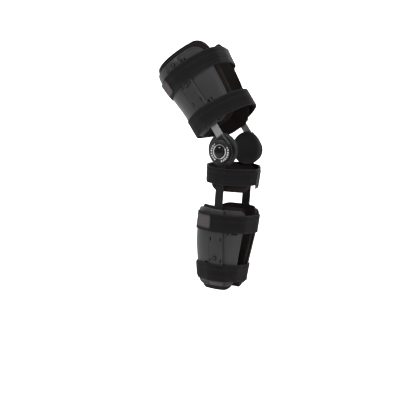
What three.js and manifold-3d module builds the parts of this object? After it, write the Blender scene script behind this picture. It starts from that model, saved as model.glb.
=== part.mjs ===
// Hinged knee brace: moulded shells on foam pads at both sides of the thigh and the calf,
// held by straps, and joined at both sides of the knee by bars with a stop-dial hinge.
// Millimetres, +Z up. The origin is the knee centre, on the hinge axis, midway between the
// two hinges. The outer side of the leg is at -X and the front of the knee is at -Y.

import * as THREE from "three";
import { mergeVertices } from "three/addons/utils/BufferGeometryUtils.js";
import Module from "manifold-3d";

const wasm = await Module();
wasm.setup();

// Pose of the two halves about the hinge axis, in degrees
const THIGH_LEAN = -35;
const CALF_LEAN = 5;

// Clearances: between pieces that touch, between the leg and a pad, and under a shell or a strap,
// where the flat facets of two curved walls need more
const SEAT_GAP = 0.3;
const SKIN_GAP = 0.5;
const SHELL_GAP = 1;
const STRAP_GAP = 0.6;

// Wall thicknesses
const PAD_THICKNESS = 8;
const KNEE_PAD_THICKNESS = 9;
const SHELL_THICKNESS = 2.5;
const STRAP_THICKNESS = 3.5;
const TAB_THICKNESS = 1.5;
const BAR_THICKNESS = 3;

// Distances off the skin: outside of the pads, inside and outside of the shells
const PAD_OFF = SKIN_GAP + PAD_THICKNESS;
const SHELL_OFF = PAD_OFF + SHELL_GAP;
const SHELL_OUTSIDE = SHELL_OFF + SHELL_THICKNESS;

// Two sides of the leg: the sign of X
const SIDES = [
  { name: "lateral", sign: -1 },
  { name: "medial", sign: 1 },
];

// Leg sections that the brace is fitted to, at heights along each half: half the width, and
// the depths in front of and behind the line of the bars
const THIGH_SECTIONS = [
  { z: 40, halfWidth: 51, front: 49, back: 67 },
  { z: 75, halfWidth: 55, front: 59.5, back: 64.5 },
  { z: 130, halfWidth: 61, front: 72.5, back: 63.5 },
  { z: 200, halfWidth: 68, front: 80.5, back: 70.5 },
  { z: 255, halfWidth: 73, front: 85.5, back: 72.5 },
];
const CALF_SECTIONS = [
  { z: -310, halfWidth: 36, front: 27, back: 53 },
  { z: -270, halfWidth: 41, front: 30, back: 59 },
  { z: -210, halfWidth: 49, front: 40, back: 66.5 },
  { z: -160, halfWidth: 52, front: 48.5, back: 66 },
  { z: -120, halfWidth: 51, front: 49.5, back: 62 },
  { z: -58, halfWidth: 49, front: 53, back: 62 },
  { z: -25, halfWidth: 50, front: 57, back: 65 },
];

// Pad outlines: back and front edges as degrees from the side of the leg towards the front,
// ends as heights, and the corner radii at the two ends
const PADS = {
  thigh_lateral: { back: -66, front: 63, low: 54, high: 246, lowCorner: 46, highCorner: 34 },
  thigh_medial: { back: -60, front: 52, low: 54, high: 246, lowCorner: 46, highCorner: 34 },
  calf_lateral: { back: -66, front: 68, low: -312, high: -125, lowCorner: 28, highCorner: 20 },
  calf_medial: { back: -65, front: 80, low: -312, high: -125, lowCorner: 44, highCorner: 42 },
  knee_lateral: { back: -32, front: 74, low: -88, high: -37, lowCorner: 26, highCorner: 12 },
  knee_medial: { back: -50, front: 28, low: -80, high: -37, lowCorner: 18, highCorner: 12 },
};

// Shells lie on the pads with the pad's border showing all round: widths of the border
const SHELL_MARGINS = {
  thigh: { back: 7, front: 18, low: 5.5, high: 12.5 },
  calf: { back: 7, front: 7, low: 9.5, high: 5.5 },
};
const SHELL_CORNER_CUT = 6;

// Raised channel of a shell, a tunnel for the bar: flat top, sloped flanks, closed far end
const CHANNEL_TOP_HALF = 13;
const CHANNEL_BASE_HALF = 16.5;
const CHANNEL_END_SLOPE = 8;

// Through slots of a shell: place across the channel, height, width and length
const SLOT_WIDTH = 3;
const SLOT_LENGTH = 10;
const SLOT_DEPTH = 30;
const SLOT_ACROSS = 11;
const SLOT_HEIGHTS = { thigh: [169, 124], calf: [-196, -244] };

// Rivets that hold the bar in the channel
const RIVET_RADIUS = 4.5;
const RIVET_TOP_RADIUS = 3.4;
const RIVET_HEIGHT = 1.6;
const RIVET_GAP = 0.8;
const RIVET_HEIGHTS = { thigh: [167, 222], calf: [-240] };

// Straps: edges at the middle of the leg, how much the ring climbs towards the back and towards
// the inner side, and how far the flexed knee pushes out its low and high edges in front
const STRAPS = {
  thigh_strap_upper: { half: "thigh", over: "thigh", low: 174, high: 215, back: 0, inward: 0, push: [0, 0] },
  thigh_strap_lower: {
    half: "thigh",
    over: "thigh",
    low: 66,
    high: 108,
    back: 0.055,
    inward: 0,
    push: [19, 9],
  },
  knee_strap: { half: "calf", over: "knee", low: -71, high: -34, back: 0, inward: 0.06, push: [0, 0] },
  calf_strap_upper: { half: "calf", over: "calf", low: -181, high: -140, back: 0, inward: 0, push: [0, 0] },
  calf_strap_lower: { half: "calf", over: "calf", low: -293, high: -254, back: 0, inward: 0, push: [0, 0] },
};
const STRAP_SIDES = 48;

// Strap ends that lie on their strap: reach as degrees round from the outer side towards the
// front, and how far each edge stands back from the strap's edge
const STRAP_ENDS = {
  thigh_strap_upper_tab: { strap: "thigh_strap_upper", from: -58, to: -29, lowBack: 3, highBack: 2 },
  calf_strap_upper_tab: { strap: "calf_strap_upper", from: -42, to: -12, lowBack: 6, highBack: 4 },
  calf_strap_lower_tab: { strap: "calf_strap_lower", from: -110, to: -58, lowBack: 3, highBack: 3 },
  knee_strap_end: { strap: "knee_strap", from: 92, to: 128, lowBack: -9, highBack: 8 },
};
const STRAP_END_CORNER = 7;

// Hinge layers as distances from the mid plane
const CONDYLE_PAD = {
  inner: 47.5,
  outer: 59.5,
  radius: 38,
  faceRadius: 32,
  edge: 2,
  height: 3,
  back: 3.5,
};
const CALF_BAR_INNER = 60;
const THIGH_BAR_INNER = 63.4;
const COVER = { inner: 66.8, outer: 71, radius: 29, neckHalf: 9.5, neckReach: 31 };
const DIAL = { inner: 71.3, outer: 75.5, radius: 26, recessRadius: 14, recess: 0.6, edge: 1.2 };
const CAP = { inner: 75.8, top: 80.2, radius: 11.5, rim: 1.2 };
const PIN_RADIUS = 4;
const PIN_HOLE_RADIUS = 4.3;

// Bars: middle line, half width, hinge head radius, neck where the head has drawn in to the bar,
// end of the flat stretch, place where the bar starts to follow the pad, and end in the channel.
// The thigh bar runs in front of the hinge axis.
const THIGH_BAR = {
  line: -16.5,
  half: 8.5,
  headRadius: 20,
  neckReach: 32,
  flatReach: 50,
  bendReach: 75,
  reach: 215,
};
const CALF_BAR = {
  line: 0,
  half: 10,
  headRadius: 20,
  neckReach: 32,
  flatReach: 37,
  bendReach: 160,
  reach: 265,
};

// Finishes
const FINISHES = {
  shell: { color: 0x424244, roughness: 0.55, metalness: 0 },
  pad: { color: 0x1a1614, roughness: 0.95, metalness: 0 },
  strap: { color: 0x1f1e1f, roughness: 0.9, metalness: 0 },
  tab: { color: 0x5b5759, roughness: 0.8, metalness: 0 },
  aluminium: { color: 0x96969a, roughness: 0.4, metalness: 1 },
  blackMetal: { color: 0x15181a, roughness: 0.45, metalness: 0.6 },
  cover: { color: 0x1c1c1e, roughness: 0.5, metalness: 0 },
  dial: { color: 0x161617, roughness: 0.45, metalness: 0 },
  cap: { color: 0x08080a, roughness: 0.15, metalness: 0 },
};

const RADIANS = Math.PI / 180;
const ROUND_SIDES = 24;
const PLATE_SIDES = 16;
const RIVET_SIDES = 10;
const PAD_COLUMNS = 10;
const CUFF_MID_ROWS = 5;
const KNEE_MID_ROWS = 2;
const CORNER_STEPS = 3;
const SHELL_FLANK_COLUMNS = 4;
const BEND_STEPS = 8;
const DOME_STEPS = 3;
const TIGHT_STEPS = 36;
const MERGE_DISTANCE = 0.001;

// Value of one column of a section table at a height, on a smooth curve through the rows
function smoothColumn(table, column, z) {
  const last = table.length - 1;
  let i = 0;
  while (i < last - 1 && z > table[i + 1].z) i += 1;
  const slope = (k) => {
    const low = table[Math.max(k - 1, 0)];
    const high = table[Math.min(k + 1, last)];
    return (high[column] - low[column]) / (high.z - low.z);
  };
  const span = table[i + 1].z - table[i].z;
  const t = THREE.MathUtils.clamp((z - table[i].z) / span, 0, 1);
  const start = table[i][column];
  const end = table[i + 1][column];
  const startPull = slope(i) * span;
  const endPull = slope(i + 1) * span;
  const bend = 2 * (start - end) + startPull + endPull;
  const lean = 3 * (end - start) - 2 * startPull - endPull;
  return start + t * (startPull + t * (lean + t * bend));
}

// Leg section at a height
function sectionAt(half, z) {
  return {
    halfWidth: smoothColumn(half.sections, "halfWidth", z),
    front: smoothColumn(half.sections, "front", z),
    back: smoothColumn(half.sections, "back", z),
  };
}

// Point over the leg: an angle from the side towards the front, and a distance off the skin
function legPoint(half, sign, angle, z, off) {
  const { halfWidth, front, back } = sectionAt(half, z);
  const depth = angle > 0 ? front : back;
  const across = Math.cos(angle);
  const forward = Math.sin(angle);
  const normal = new THREE.Vector2(across / halfWidth, forward / depth).normalize();
  const x = halfWidth * across + off * normal.x;
  const y = depth * forward + off * normal.y;
  return new THREE.Vector3(sign * x, half.bar.line - y, z);
}

// Angle of a place on a shell, given by its distance in front of the bar's line
function angleOf(half, distance, z) {
  const { front, back } = sectionAt(half, z);
  return Math.asin(distance / ((distance > 0 ? front : back) + SHELL_OFF));
}

// Angle that a length round the outside of a pad takes up, in front of or behind the side
function angleAlong(half, length, z, side) {
  const section = sectionAt(half, z);
  return length / ((section.halfWidth + section[side]) / 2 + PAD_OFF);
}

// Closed geometry from points and triangles, with its faces turned outwards
function closedGeometry(points, triangles) {
  const raw = new THREE.BufferGeometry().setFromPoints(points);
  raw.setIndex(triangles);
  return outward(raw);
}

// Same geometry with shared vertices merged, slivers dropped and faces turned outwards
function outward(geometry) {
  geometry.deleteAttribute("normal");
  geometry.deleteAttribute("uv");
  const merged = mergeVertices(geometry, MERGE_DISTANCE);
  const position = merged.getAttribute("position");
  const corner = (i) => new THREE.Vector3().fromBufferAttribute(position, i);
  const kept = [];
  let volume = 0;
  for (let i = 0; i < merged.index.count; i += 3) {
    const [a, b, c] = [0, 1, 2].map((k) => merged.index.getX(i + k));
    if (a === b || b === c || c === a) continue;
    kept.push([a, b, c]);
    volume += corner(a).dot(corner(b).cross(corner(c)));
  }
  const faces = volume < 0 ? kept.map(([a, b, c]) => [a, c, b]) : kept;
  merged.setIndex(faces.flat());
  merged.computeVertexNormals();
  return merged;
}

// Wall between two grids of points, closed round its rim
function wallBetween(inner, outer) {
  const rows = inner.length;
  const columns = inner[0].length;
  const at = (layer, row, column) => (layer * rows + row) * columns + column;
  const triangles = [];
  const quad = (a, b, c, d) => triangles.push(a, b, c, a, c, d);
  for (let r = 0; r < rows - 1; r += 1) {
    for (let c = 0; c < columns - 1; c += 1) {
      quad(at(1, r, c), at(1, r, c + 1), at(1, r + 1, c + 1), at(1, r + 1, c));
      quad(at(0, r, c), at(0, r + 1, c), at(0, r + 1, c + 1), at(0, r, c + 1));
    }
  }
  const top = rows - 1;
  for (let c = 0; c < columns - 1; c += 1) {
    quad(at(0, 0, c), at(0, 0, c + 1), at(1, 0, c + 1), at(1, 0, c));
    quad(at(1, top, c), at(1, top, c + 1), at(0, top, c + 1), at(0, top, c));
  }
  const side = columns - 1;
  for (let r = 0; r < rows - 1; r += 1) {
    quad(at(1, r, 0), at(1, r + 1, 0), at(0, r + 1, 0), at(0, r, 0));
    quad(at(0, r, side), at(0, r + 1, side), at(1, r + 1, side), at(1, r, side));
  }
  return closedGeometry([...inner.flat(), ...outer.flat()], triangles);
}

// Closed band: the corners of its section at each step round the loop
function bandThrough(sections) {
  const steps = sections.length;
  const corners = sections[0].length;
  const at = (step, corner) => (step % steps) * corners + (corner % corners);
  const triangles = [];
  for (let s = 0; s < steps; s += 1) {
    for (let c = 0; c < corners; c += 1) {
      triangles.push(at(s, c), at(s + 1, c), at(s + 1, c + 1));
      triangles.push(at(s, c), at(s + 1, c + 1), at(s, c + 1));
    }
  }
  return closedGeometry(sections.flat(), triangles);
}

// Solid for cutting, from a closed geometry
function solidOf(geometry) {
  return new wasm.Manifold(
    new wasm.Mesh({
      numProp: 3,
      vertProperties: new Float32Array(geometry.getAttribute("position").array),
      triVerts: new Uint32Array(geometry.index.array),
    }),
  );
}

// Geometry of a solid
function geometryOf(solid) {
  const mesh = solid.getMesh();
  const made = new THREE.BufferGeometry();
  made.setAttribute("position", new THREE.BufferAttribute(new Float32Array(mesh.vertProperties), 3));
  made.setIndex(new THREE.BufferAttribute(new Uint32Array(mesh.triVerts), 1));
  return outward(made);
}

// Geometry with each of the cutters taken away
function cutBy(geometry, cutters) {
  const cut = cutters.reduce((left, cutter) => left.subtract(solidOf(cutter)), solidOf(geometry));
  return geometryOf(cut);
}

// Turned piece on the hinge axis: a profile of radius and distance from the mid plane
function turned(profile, sign, height = 0) {
  const rim = profile.map(([radius, distance]) => new THREE.Vector2(radius, distance));
  const geometry = new THREE.LatheGeometry(rim, ROUND_SIDES);
  geometry.rotateZ(-Math.PI / 2);
  geometry.scale(sign, 1, 1);
  geometry.translate(0, 0, height);
  return outward(geometry);
}

// Flat plate across the hinge axis: an outline in Y and Z between two distances
function plate(outline, inner, outer, sign) {
  const options = { depth: outer - inner, bevelEnabled: false, curveSegments: PLATE_SIDES };
  const geometry = new THREE.ExtrudeGeometry(outline, options);
  const axes = [new THREE.Vector3(0, 1, 0), new THREE.Vector3(0, 0, 1), new THREE.Vector3(1, 0, 0)];
  geometry.applyMatrix4(new THREE.Matrix4().makeBasis(...axes));
  geometry.translate(inner, 0, 0);
  geometry.scale(sign, 1, 1);
  return outward(geometry);
}

// Heights of the rows of a wall with rounded corners, each with how far its ends draw in
function outlineRows({ low, high, lowCorner, highCorner }, midRows) {
  const rows = [];
  for (let i = 0; i <= CORNER_STEPS; i += 1) {
    const turn = (i / CORNER_STEPS) * (Math.PI / 2);
    rows.push({ z: low + lowCorner * (1 - Math.cos(turn)), drawn: lowCorner * (1 - Math.sin(turn)) });
  }
  const start = low + lowCorner;
  const end = high - highCorner;
  for (let i = 1; i < midRows; i += 1) {
    rows.push({ z: start + ((end - start) * i) / midRows, drawn: 0 });
  }
  for (let i = 0; i <= CORNER_STEPS; i += 1) {
    const turn = (i / CORNER_STEPS) * (Math.PI / 2);
    rows.push({ z: end + highCorner * Math.sin(turn), drawn: highCorner * (1 - Math.cos(turn)) });
  }
  return rows;
}

// Angles of the two edges of an outline at a row
function rowEdges(half, outline, { z, drawn }) {
  const back = outline.back * RADIANS + angleAlong(half, drawn, z, "back");
  const front = outline.front * RADIANS - angleAlong(half, drawn, z, "front");
  return [back, front];
}

// Foam pad: a wall over the leg with rounded corners
function padGeometry(half, sign, outline, thickness, midRows) {
  const rows = outlineRows(outline, midRows);
  const grid = (off) =>
    rows.map((row) => {
      const [back, front] = rowEdges(half, outline, row);
      return Array.from({ length: PAD_COLUMNS + 1 }, (_, c) => {
        const angle = THREE.MathUtils.lerp(back, front, c / PAD_COLUMNS);
        return legPoint(half, sign, angle, row.z, off);
      });
    });
  return wallBetween(grid(SKIN_GAP), grid(SKIN_GAP + thickness));
}

// Distance of a bar's inner face from the mid plane: flat at the hinge, then along the pad
function barInner(half, z) {
  if (half.up * z <= half.bar.flatReach) return half.hingeInner;
  const onPad = sectionAt(half, z).halfWidth + PAD_OFF + SEAT_GAP;
  return half.up * z < half.bar.bendReach ? Math.max(half.hingeInner, onPad) : onPad;
}

// Outline of the shell on a pad
function shellOutline(half, pad) {
  const { back, front, low, high } = half.margins;
  const middle = (pad.low + pad.high) / 2;
  return {
    back: pad.back + angleAlong(half, back, middle, "back") / RADIANS,
    front: pad.front - angleAlong(half, front, middle, "front") / RADIANS,
    low: pad.low + low,
    high: pad.high - high,
    lowCorner: pad.lowCorner - SHELL_CORNER_CUT,
    highCorner: pad.highCorner - SHELL_CORNER_CUT,
  };
}

// Rise of the channel over the shell, at a distance in front of the bar's line and a height
function channelRise(half, across, z) {
  const { halfWidth, front, back } = sectionAt(half, z);
  const corner = half.bar.half / (Math.min(front, back) + SHELL_OFF);
  const fall = (halfWidth + SHELL_OFF) * (1 - Math.sqrt(1 - corner ** 2));
  const rise = barInner(half, z) + BAR_THICKNESS + SHELL_GAP + fall - halfWidth - SHELL_OFF;
  const fromEnd = THREE.MathUtils.clamp(Math.abs(half.farEnd - z) / CHANNEL_END_SLOPE, 0, 1);
  const flank = (CHANNEL_BASE_HALF - Math.abs(across)) / (CHANNEL_BASE_HALF - CHANNEL_TOP_HALF);
  return rise * fromEnd * THREE.MathUtils.clamp(flank, 0, 1);
}

// Places across a shell, at a row: even steps on the flanks, and the edges of the channel
function shellColumns(half, outline, row) {
  const [back, front] = rowEdges(half, outline, row);
  const at = (across) => ({ across, angle: angleOf(half, across, row.z) });
  const [channelBack, channelFront] = [at(-CHANNEL_BASE_HALF), at(CHANNEL_BASE_HALF)];
  const flank = (from, to) =>
    Array.from({ length: SHELL_FLANK_COLUMNS }, (_, i) => ({
      across: Infinity,
      angle: THREE.MathUtils.lerp(from, to, i / SHELL_FLANK_COLUMNS),
    }));
  return [
    ...flank(back, channelBack.angle),
    channelBack,
    at(-CHANNEL_TOP_HALF),
    at(0),
    at(CHANNEL_TOP_HALF),
    channelFront,
    ...flank(front, channelFront.angle).reverse(),
  ];
}

// Moulded shell: a wall on the pad with the bar channel raised along its middle
function shellGeometry(half, sign, outline) {
  const rows = outlineRows(outline, CUFF_MID_ROWS);
  const grid = (off) =>
    rows.map((row) =>
      shellColumns(half, outline, row).map(({ across, angle }) => {
        const rise = channelRise(half, across, row.z);
        return legPoint(half, sign, angle, row.z, SHELL_OFF + off + rise);
      }),
    );
  return wallBetween(grid(0), grid(SHELL_THICKNESS));
}

// Placement on a shell: X out of the surface, Y round the leg, Z along it
function shellFrame(half, sign, across, z, off) {
  const angle = angleOf(half, across, z);
  const low = legPoint(half, sign, angle, z - 1, off);
  const high = legPoint(half, sign, angle, z + 1, off);
  const further = legPoint(half, sign, angle, z, off + 1);
  const place = legPoint(half, sign, angle, z, off);
  const along = high.sub(low).normalize();
  const round = along.clone().cross(further.sub(place)).normalize();
  const out = round.clone().cross(along);
  return new THREE.Matrix4().makeBasis(out, round, along).setPosition(place);
}

// Cutter for one slot of a shell
function slotCutter(half, sign, across, z) {
  const box = new THREE.BoxGeometry(SLOT_DEPTH, SLOT_WIDTH, SLOT_LENGTH);
  return outward(box.applyMatrix4(shellFrame(half, sign, across, z, SHELL_OFF)));
}

// Round rivet with a rounded edge, on top of the channel
function rivetGeometry(half, sign, z) {
  const rim = [
    [0, 0],
    [RIVET_RADIUS, 0],
    [RIVET_RADIUS, RIVET_HEIGHT / 2],
    [RIVET_TOP_RADIUS, RIVET_HEIGHT],
    [0, RIVET_HEIGHT],
  ].map(([radius, height]) => new THREE.Vector2(radius, height));
  const geometry = new THREE.LatheGeometry(rim, RIVET_SIDES);
  geometry.rotateZ(-Math.PI / 2);
  const off = SHELL_OUTSIDE + channelRise(half, 0, z) + RIVET_GAP;
  return outward(geometry.applyMatrix4(shellFrame(half, sign, 0, z, off)));
}

// Outline of a hinge plate: a disc on the axis with straight sides drawn in to a neck
function plateOutline(radius, line, neckHalf, neckReach) {
  const tangent = (y, side) => {
    const corner = Math.atan2(neckReach, y);
    return corner + side * Math.acos(radius / Math.hypot(y, neckReach));
  };
  const outline = new THREE.Shape();
  outline.moveTo(line + neckHalf, neckReach);
  outline.lineTo(line - neckHalf, neckReach);
  const start = tangent(line - neckHalf, 1);
  const end = tangent(line + neckHalf, -1) + 2 * Math.PI;
  outline.absarc(0, 0, radius, start, end, false);
  outline.closePath();
  return outline;
}

// Bar: a flat hinge plate, and a strip bent along the pad
function barGeometry(half, sign) {
  const { line, half: width, headRadius, neckReach, flatReach, reach } = half.bar;
  const outline = plateOutline(headRadius, line, width, neckReach);
  const head = plate(outline, half.hingeInner, half.hingeInner + BAR_THICKNESS, sign);
  head.scale(1, 1, half.up);
  const bends = Array.from({ length: BEND_STEPS + 1 }, (_, i) =>
    THREE.MathUtils.lerp(flatReach, reach, i / BEND_STEPS),
  );
  const rows = [neckReach, ...bends].map((run) => {
    const z = half.up * run;
    return { z, inner: barInner(half, z) };
  });
  const grid = (off) =>
    rows.map(({ z, inner }) =>
      [line - width, line + width].map((y) => new THREE.Vector3(sign * (inner + off), y, z)),
    );
  const strip = solidOf(wallBetween(grid(0), grid(BAR_THICKNESS)));
  const whole = solidOf(outward(head)).add(strip).subtract(solidOf(pinHole(sign)));
  return geometryOf(whole);
}

// Cutter for the hinge pin's hole
function pinHole(sign) {
  const profile = [
    [0, CALF_BAR_INNER - BAR_THICKNESS],
    [PIN_HOLE_RADIUS, CALF_BAR_INNER - BAR_THICKNESS],
    [PIN_HOLE_RADIUS, CAP.top],
    [0, CAP.top],
  ];
  return turned(profile, sign);
}

// Teardrop hinge cover, drawn in to the thigh bar
function coverGeometry(sign) {
  const { inner, outer, radius, neckHalf, neckReach } = COVER;
  const outline = plateOutline(radius, THIGH_BAR.line, neckHalf, neckReach);
  return cutBy(plate(outline, inner, outer, sign), [pinHole(sign)]);
}

// Stop dial: a ring with a chamfered edge and a shallow recess round the cap
function dialGeometry(sign) {
  const { inner, outer, radius, recessRadius, recess, edge } = DIAL;
  const profile = [
    [PIN_HOLE_RADIUS, inner],
    [radius, inner],
    [radius, outer - edge],
    [radius - edge, outer],
    [recessRadius, outer],
    [recessRadius, outer - recess],
    [PIN_HOLE_RADIUS, outer - recess],
    [PIN_HOLE_RADIUS, inner],
  ];
  return turned(profile, sign);
}

// Hinge pin with its domed cap
function pinGeometry(sign) {
  const { inner, top, radius, rim } = CAP;
  const profile = [
    [0, CALF_BAR_INNER],
    [PIN_RADIUS, CALF_BAR_INNER],
    [PIN_RADIUS, DIAL.outer - DIAL.recess + SEAT_GAP],
    [radius, DIAL.outer - DIAL.recess + SEAT_GAP],
    [radius, inner + rim],
  ];
  for (let i = 1; i < DOME_STEPS; i += 1) {
    const turn = (i / DOME_STEPS) * (Math.PI / 2);
    profile.push([radius * Math.cos(turn), inner + rim + (top - inner - rim) * Math.sin(turn)]);
  }
  profile.push([0, top]);
  return turned(profile, sign);
}

// Round pad behind the hinge, with rounded edges
function condylePadGeometry(sign) {
  const { inner, outer, radius, faceRadius, edge, height, back } = CONDYLE_PAD;
  const profile = [
    [0, inner],
    [faceRadius, inner],
    [radius - edge / 2, inner + edge],
    [radius, (inner + outer) / 2],
    [radius - edge / 2, outer - edge],
    [faceRadius, outer],
    [0, outer],
  ];
  return turned(profile, sign, height).translate(0, back, 0);
}

// Places that a strap is drawn tight over, at a height: the leg, and what lies on it at each side
function tightPoints(half, { over, push, low, high }, z) {
  const pushed = THREE.MathUtils.lerp(...push, (z - low) / (high - low));
  const points = [];
  const add = (sign, angle, off) => points.push(legPoint(half, sign, angle, z, off));
  SIDES.forEach(({ name, sign }) => {
    const spread = (back, front, off) => {
      for (let i = 0; i <= TIGHT_STEPS; i += 1) {
        const angle = THREE.MathUtils.lerp(back, front, i / TIGHT_STEPS) * RADIANS;
        add(sign, angle, off(Math.max(Math.sin(angle), 0)));
      }
    };
    spread(-90, 90, (forward) => SKIN_GAP + pushed * forward ** 2);
    const pad = PADS[`${over}_${name}`];
    if (over === "knee") {
      const outer = CALF_BAR_INNER + BAR_THICKNESS;
      const edge = CALF_BAR.half + STRAP_GAP;
      spread(pad.back, pad.front, () => SKIN_GAP + KNEE_PAD_THICKNESS);
      points.push({ x: sign * outer, y: -edge }, { x: sign * outer, y: edge });
      return;
    }
    const shell = shellOutline(half, pad);
    spread(pad.back, pad.front, () => PAD_OFF);
    spread(shell.back, shell.front, () => SHELL_OUTSIDE);
    [-CHANNEL_TOP_HALF, 0, CHANNEL_TOP_HALF].forEach((across) => {
      add(sign, angleOf(half, across, z), SHELL_OUTSIDE + channelRise(half, across, z));
    });
  });
  return points;
}

// How far a set of points reaches in each direction round the leg
function reachOf(points) {
  return Array.from({ length: STRAP_SIDES }, (_, k) => {
    const turn = (k / STRAP_SIDES) * 2 * Math.PI;
    const [x, y] = [-Math.cos(turn), -Math.sin(turn)];
    return Math.max(...points.map((point) => point.x * x + point.y * y));
  });
}

// Corner of the tight loop between one direction and the next, stood off by a distance
function loopCorner(reach, step, off, z, { back, inward }) {
  const k = ((step % STRAP_SIDES) + STRAP_SIDES) % STRAP_SIDES;
  const turn = (2 * Math.PI) / STRAP_SIDES;
  const first = reach[k] + off;
  const second = reach[(k + 1) % STRAP_SIDES] + off;
  const slide = (second - first * Math.cos(turn)) / Math.sin(turn);
  const [across, forward] = [Math.cos(k * turn), Math.sin(k * turn)];
  const x = -(first * across - slide * forward);
  const y = -(first * forward + slide * across);
  return new THREE.Vector3(x, y, z + back * y + inward * x);
}

// Reach of both edges of a strap, stood off so that its straight face clears the middle
function strapReach(half, strap) {
  const [low, middle, high] = [strap.low, (strap.low + strap.high) / 2, strap.high].map((z) =>
    reachOf(tightPoints(half, strap, z)),
  );
  const short = middle.map((value, k) => Math.max(value - (low[k] + high[k]) / 2, 0));
  const stoodOff = (edge) => edge.map((value, k) => value + short[k]);
  return { lowReach: stoodOff(low), highReach: stoodOff(high) };
}

// Strap pulled tight round the leg, between its two edges
function strapGeometry(strap) {
  const { low, high, lowReach, highReach } = strap;
  const rings = Array.from({ length: STRAP_SIDES }, (_, k) => [
    loopCorner(lowReach, k, STRAP_GAP, low, strap),
    loopCorner(lowReach, k, STRAP_GAP + STRAP_THICKNESS, low, strap),
    loopCorner(highReach, k, STRAP_GAP + STRAP_THICKNESS, high, strap),
    loopCorner(highReach, k, STRAP_GAP, high, strap),
  ]);
  return bandThrough(rings);
}

// Flat strap end that lies on its strap, with cut corners
function strapEndGeometry(strap, { from, to, lowBack, highBack }) {
  const first = Math.round((from / 360) * STRAP_SIDES);
  const last = Math.round((to / 360) * STRAP_SIDES);
  const { low, high, lowReach, highReach } = strap;
  const steps = last - first;
  const edge = (part, k, off) => {
    const share = part / (high - low);
    const reach = lowReach.map((value, i) => THREE.MathUtils.lerp(value, highReach[i], share));
    return loopCorner(reach, k, off, low + part, strap);
  };
  const grid = (off) =>
    [0, 1].map((row) =>
      Array.from({ length: steps + 1 }, (_, i) => {
        const cut = i === 0 || i === steps ? STRAP_END_CORNER : 0;
        const part = row === 0 ? lowBack + cut : high - low - highBack - cut;
        return edge(part, first + i, off);
      }),
    );
  const off = STRAP_GAP + STRAP_THICKNESS + SEAT_GAP;
  return wallBetween(grid(off), grid(off + TAB_THICKNESS));
}

// Thigh and calf halves: what differs between them
const HALVES = {
  thigh: {
    sections: THIGH_SECTIONS,
    bar: THIGH_BAR,
    hingeInner: THIGH_BAR_INNER,
    up: 1,
    margins: SHELL_MARGINS.thigh,
    farEnd: PADS.thigh_lateral.high - SHELL_MARGINS.thigh.high,
    lean: THIGH_LEAN,
    barFinish: "aluminium",
  },
  calf: {
    sections: CALF_SECTIONS,
    bar: CALF_BAR,
    hingeInner: CALF_BAR_INNER,
    up: -1,
    margins: SHELL_MARGINS.calf,
    farEnd: PADS.calf_lateral.low + SHELL_MARGINS.calf.low,
    lean: CALF_LEAN,
    barFinish: "blackMetal",
  },
};

const brace = new THREE.Group();
brace.name = "hinged_knee_brace";

// Named mesh in its half
function addPiece(half, name, geometry, finish) {
  const mesh = new THREE.Mesh(geometry, new THREE.MeshStandardMaterial(FINISHES[finish]));
  mesh.name = name;
  half.group.add(mesh);
}

// Pads, shells, rivets and bars of both halves, at both sides
Object.entries(HALVES).forEach(([halfName, half]) => {
  half.group = new THREE.Group();
  half.group.rotation.x = half.lean * RADIANS;
  brace.add(half.group);
  SIDES.forEach(({ name, sign }) => {
    const pad = PADS[`${halfName}_${name}`];
    const outline = shellOutline(half, pad);
    const padWall = padGeometry(half, sign, pad, PAD_THICKNESS, CUFF_MID_ROWS);
    addPiece(half, `${halfName}_pad_${name}`, padWall, "pad");
    const slots = SLOT_HEIGHTS[halfName].flatMap((z) =>
      [-SLOT_ACROSS, SLOT_ACROSS].map((across) => slotCutter(half, sign, across, z)),
    );
    const shell = cutBy(shellGeometry(half, sign, outline), slots);
    addPiece(half, `${halfName}_shell_${name}`, shell, "shell");
    RIVET_HEIGHTS[halfName].forEach((z, i) => {
      addPiece(half, `${halfName}_rivet_${name}_${i + 1}`, rivetGeometry(half, sign, z), "cover");
    });
    addPiece(half, `${halfName}_bar_${name}`, barGeometry(half, sign), half.barFinish);
  });
});

// Hinges and the pads at the knee
SIDES.forEach(({ name, sign }) => {
  const { thigh, calf } = HALVES;
  addPiece(thigh, `hinge_cover_${name}`, coverGeometry(sign), "cover");
  addPiece(thigh, `hinge_dial_${name}`, dialGeometry(sign), "dial");
  addPiece(thigh, `hinge_pin_${name}`, pinGeometry(sign), "cap");
  addPiece(calf, `condyle_pad_${name}`, condylePadGeometry(sign), "pad");
  const outline = PADS[`knee_${name}`];
  const kneePad = padGeometry(calf, sign, outline, KNEE_PAD_THICKNESS, KNEE_MID_ROWS);
  addPiece(calf, `knee_pad_${name}`, kneePad, "pad");
});

// Straps and their ends
Object.entries(STRAPS).forEach(([name, strap]) => {
  const half = HALVES[strap.half];
  Object.assign(strap, strapReach(half, strap));
  addPiece(half, name, strapGeometry(strap), "strap");
});
Object.entries(STRAP_ENDS).forEach(([name, end]) => {
  const strap = STRAPS[end.strap];
  const finish = name.endsWith("_tab") ? "tab" : "strap";
  addPiece(HALVES[strap.half], name, strapEndGeometry(strap, end), finish);
});

export default brace;
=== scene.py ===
# Hinged knee brace: the looks of each piece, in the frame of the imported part.
# The outer side of the brace is at -X and its front is at -Y. Sizes are in millimetres in the
# frame of each half, straight up and down, and placed() leans them into the row frame.
import math

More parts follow.
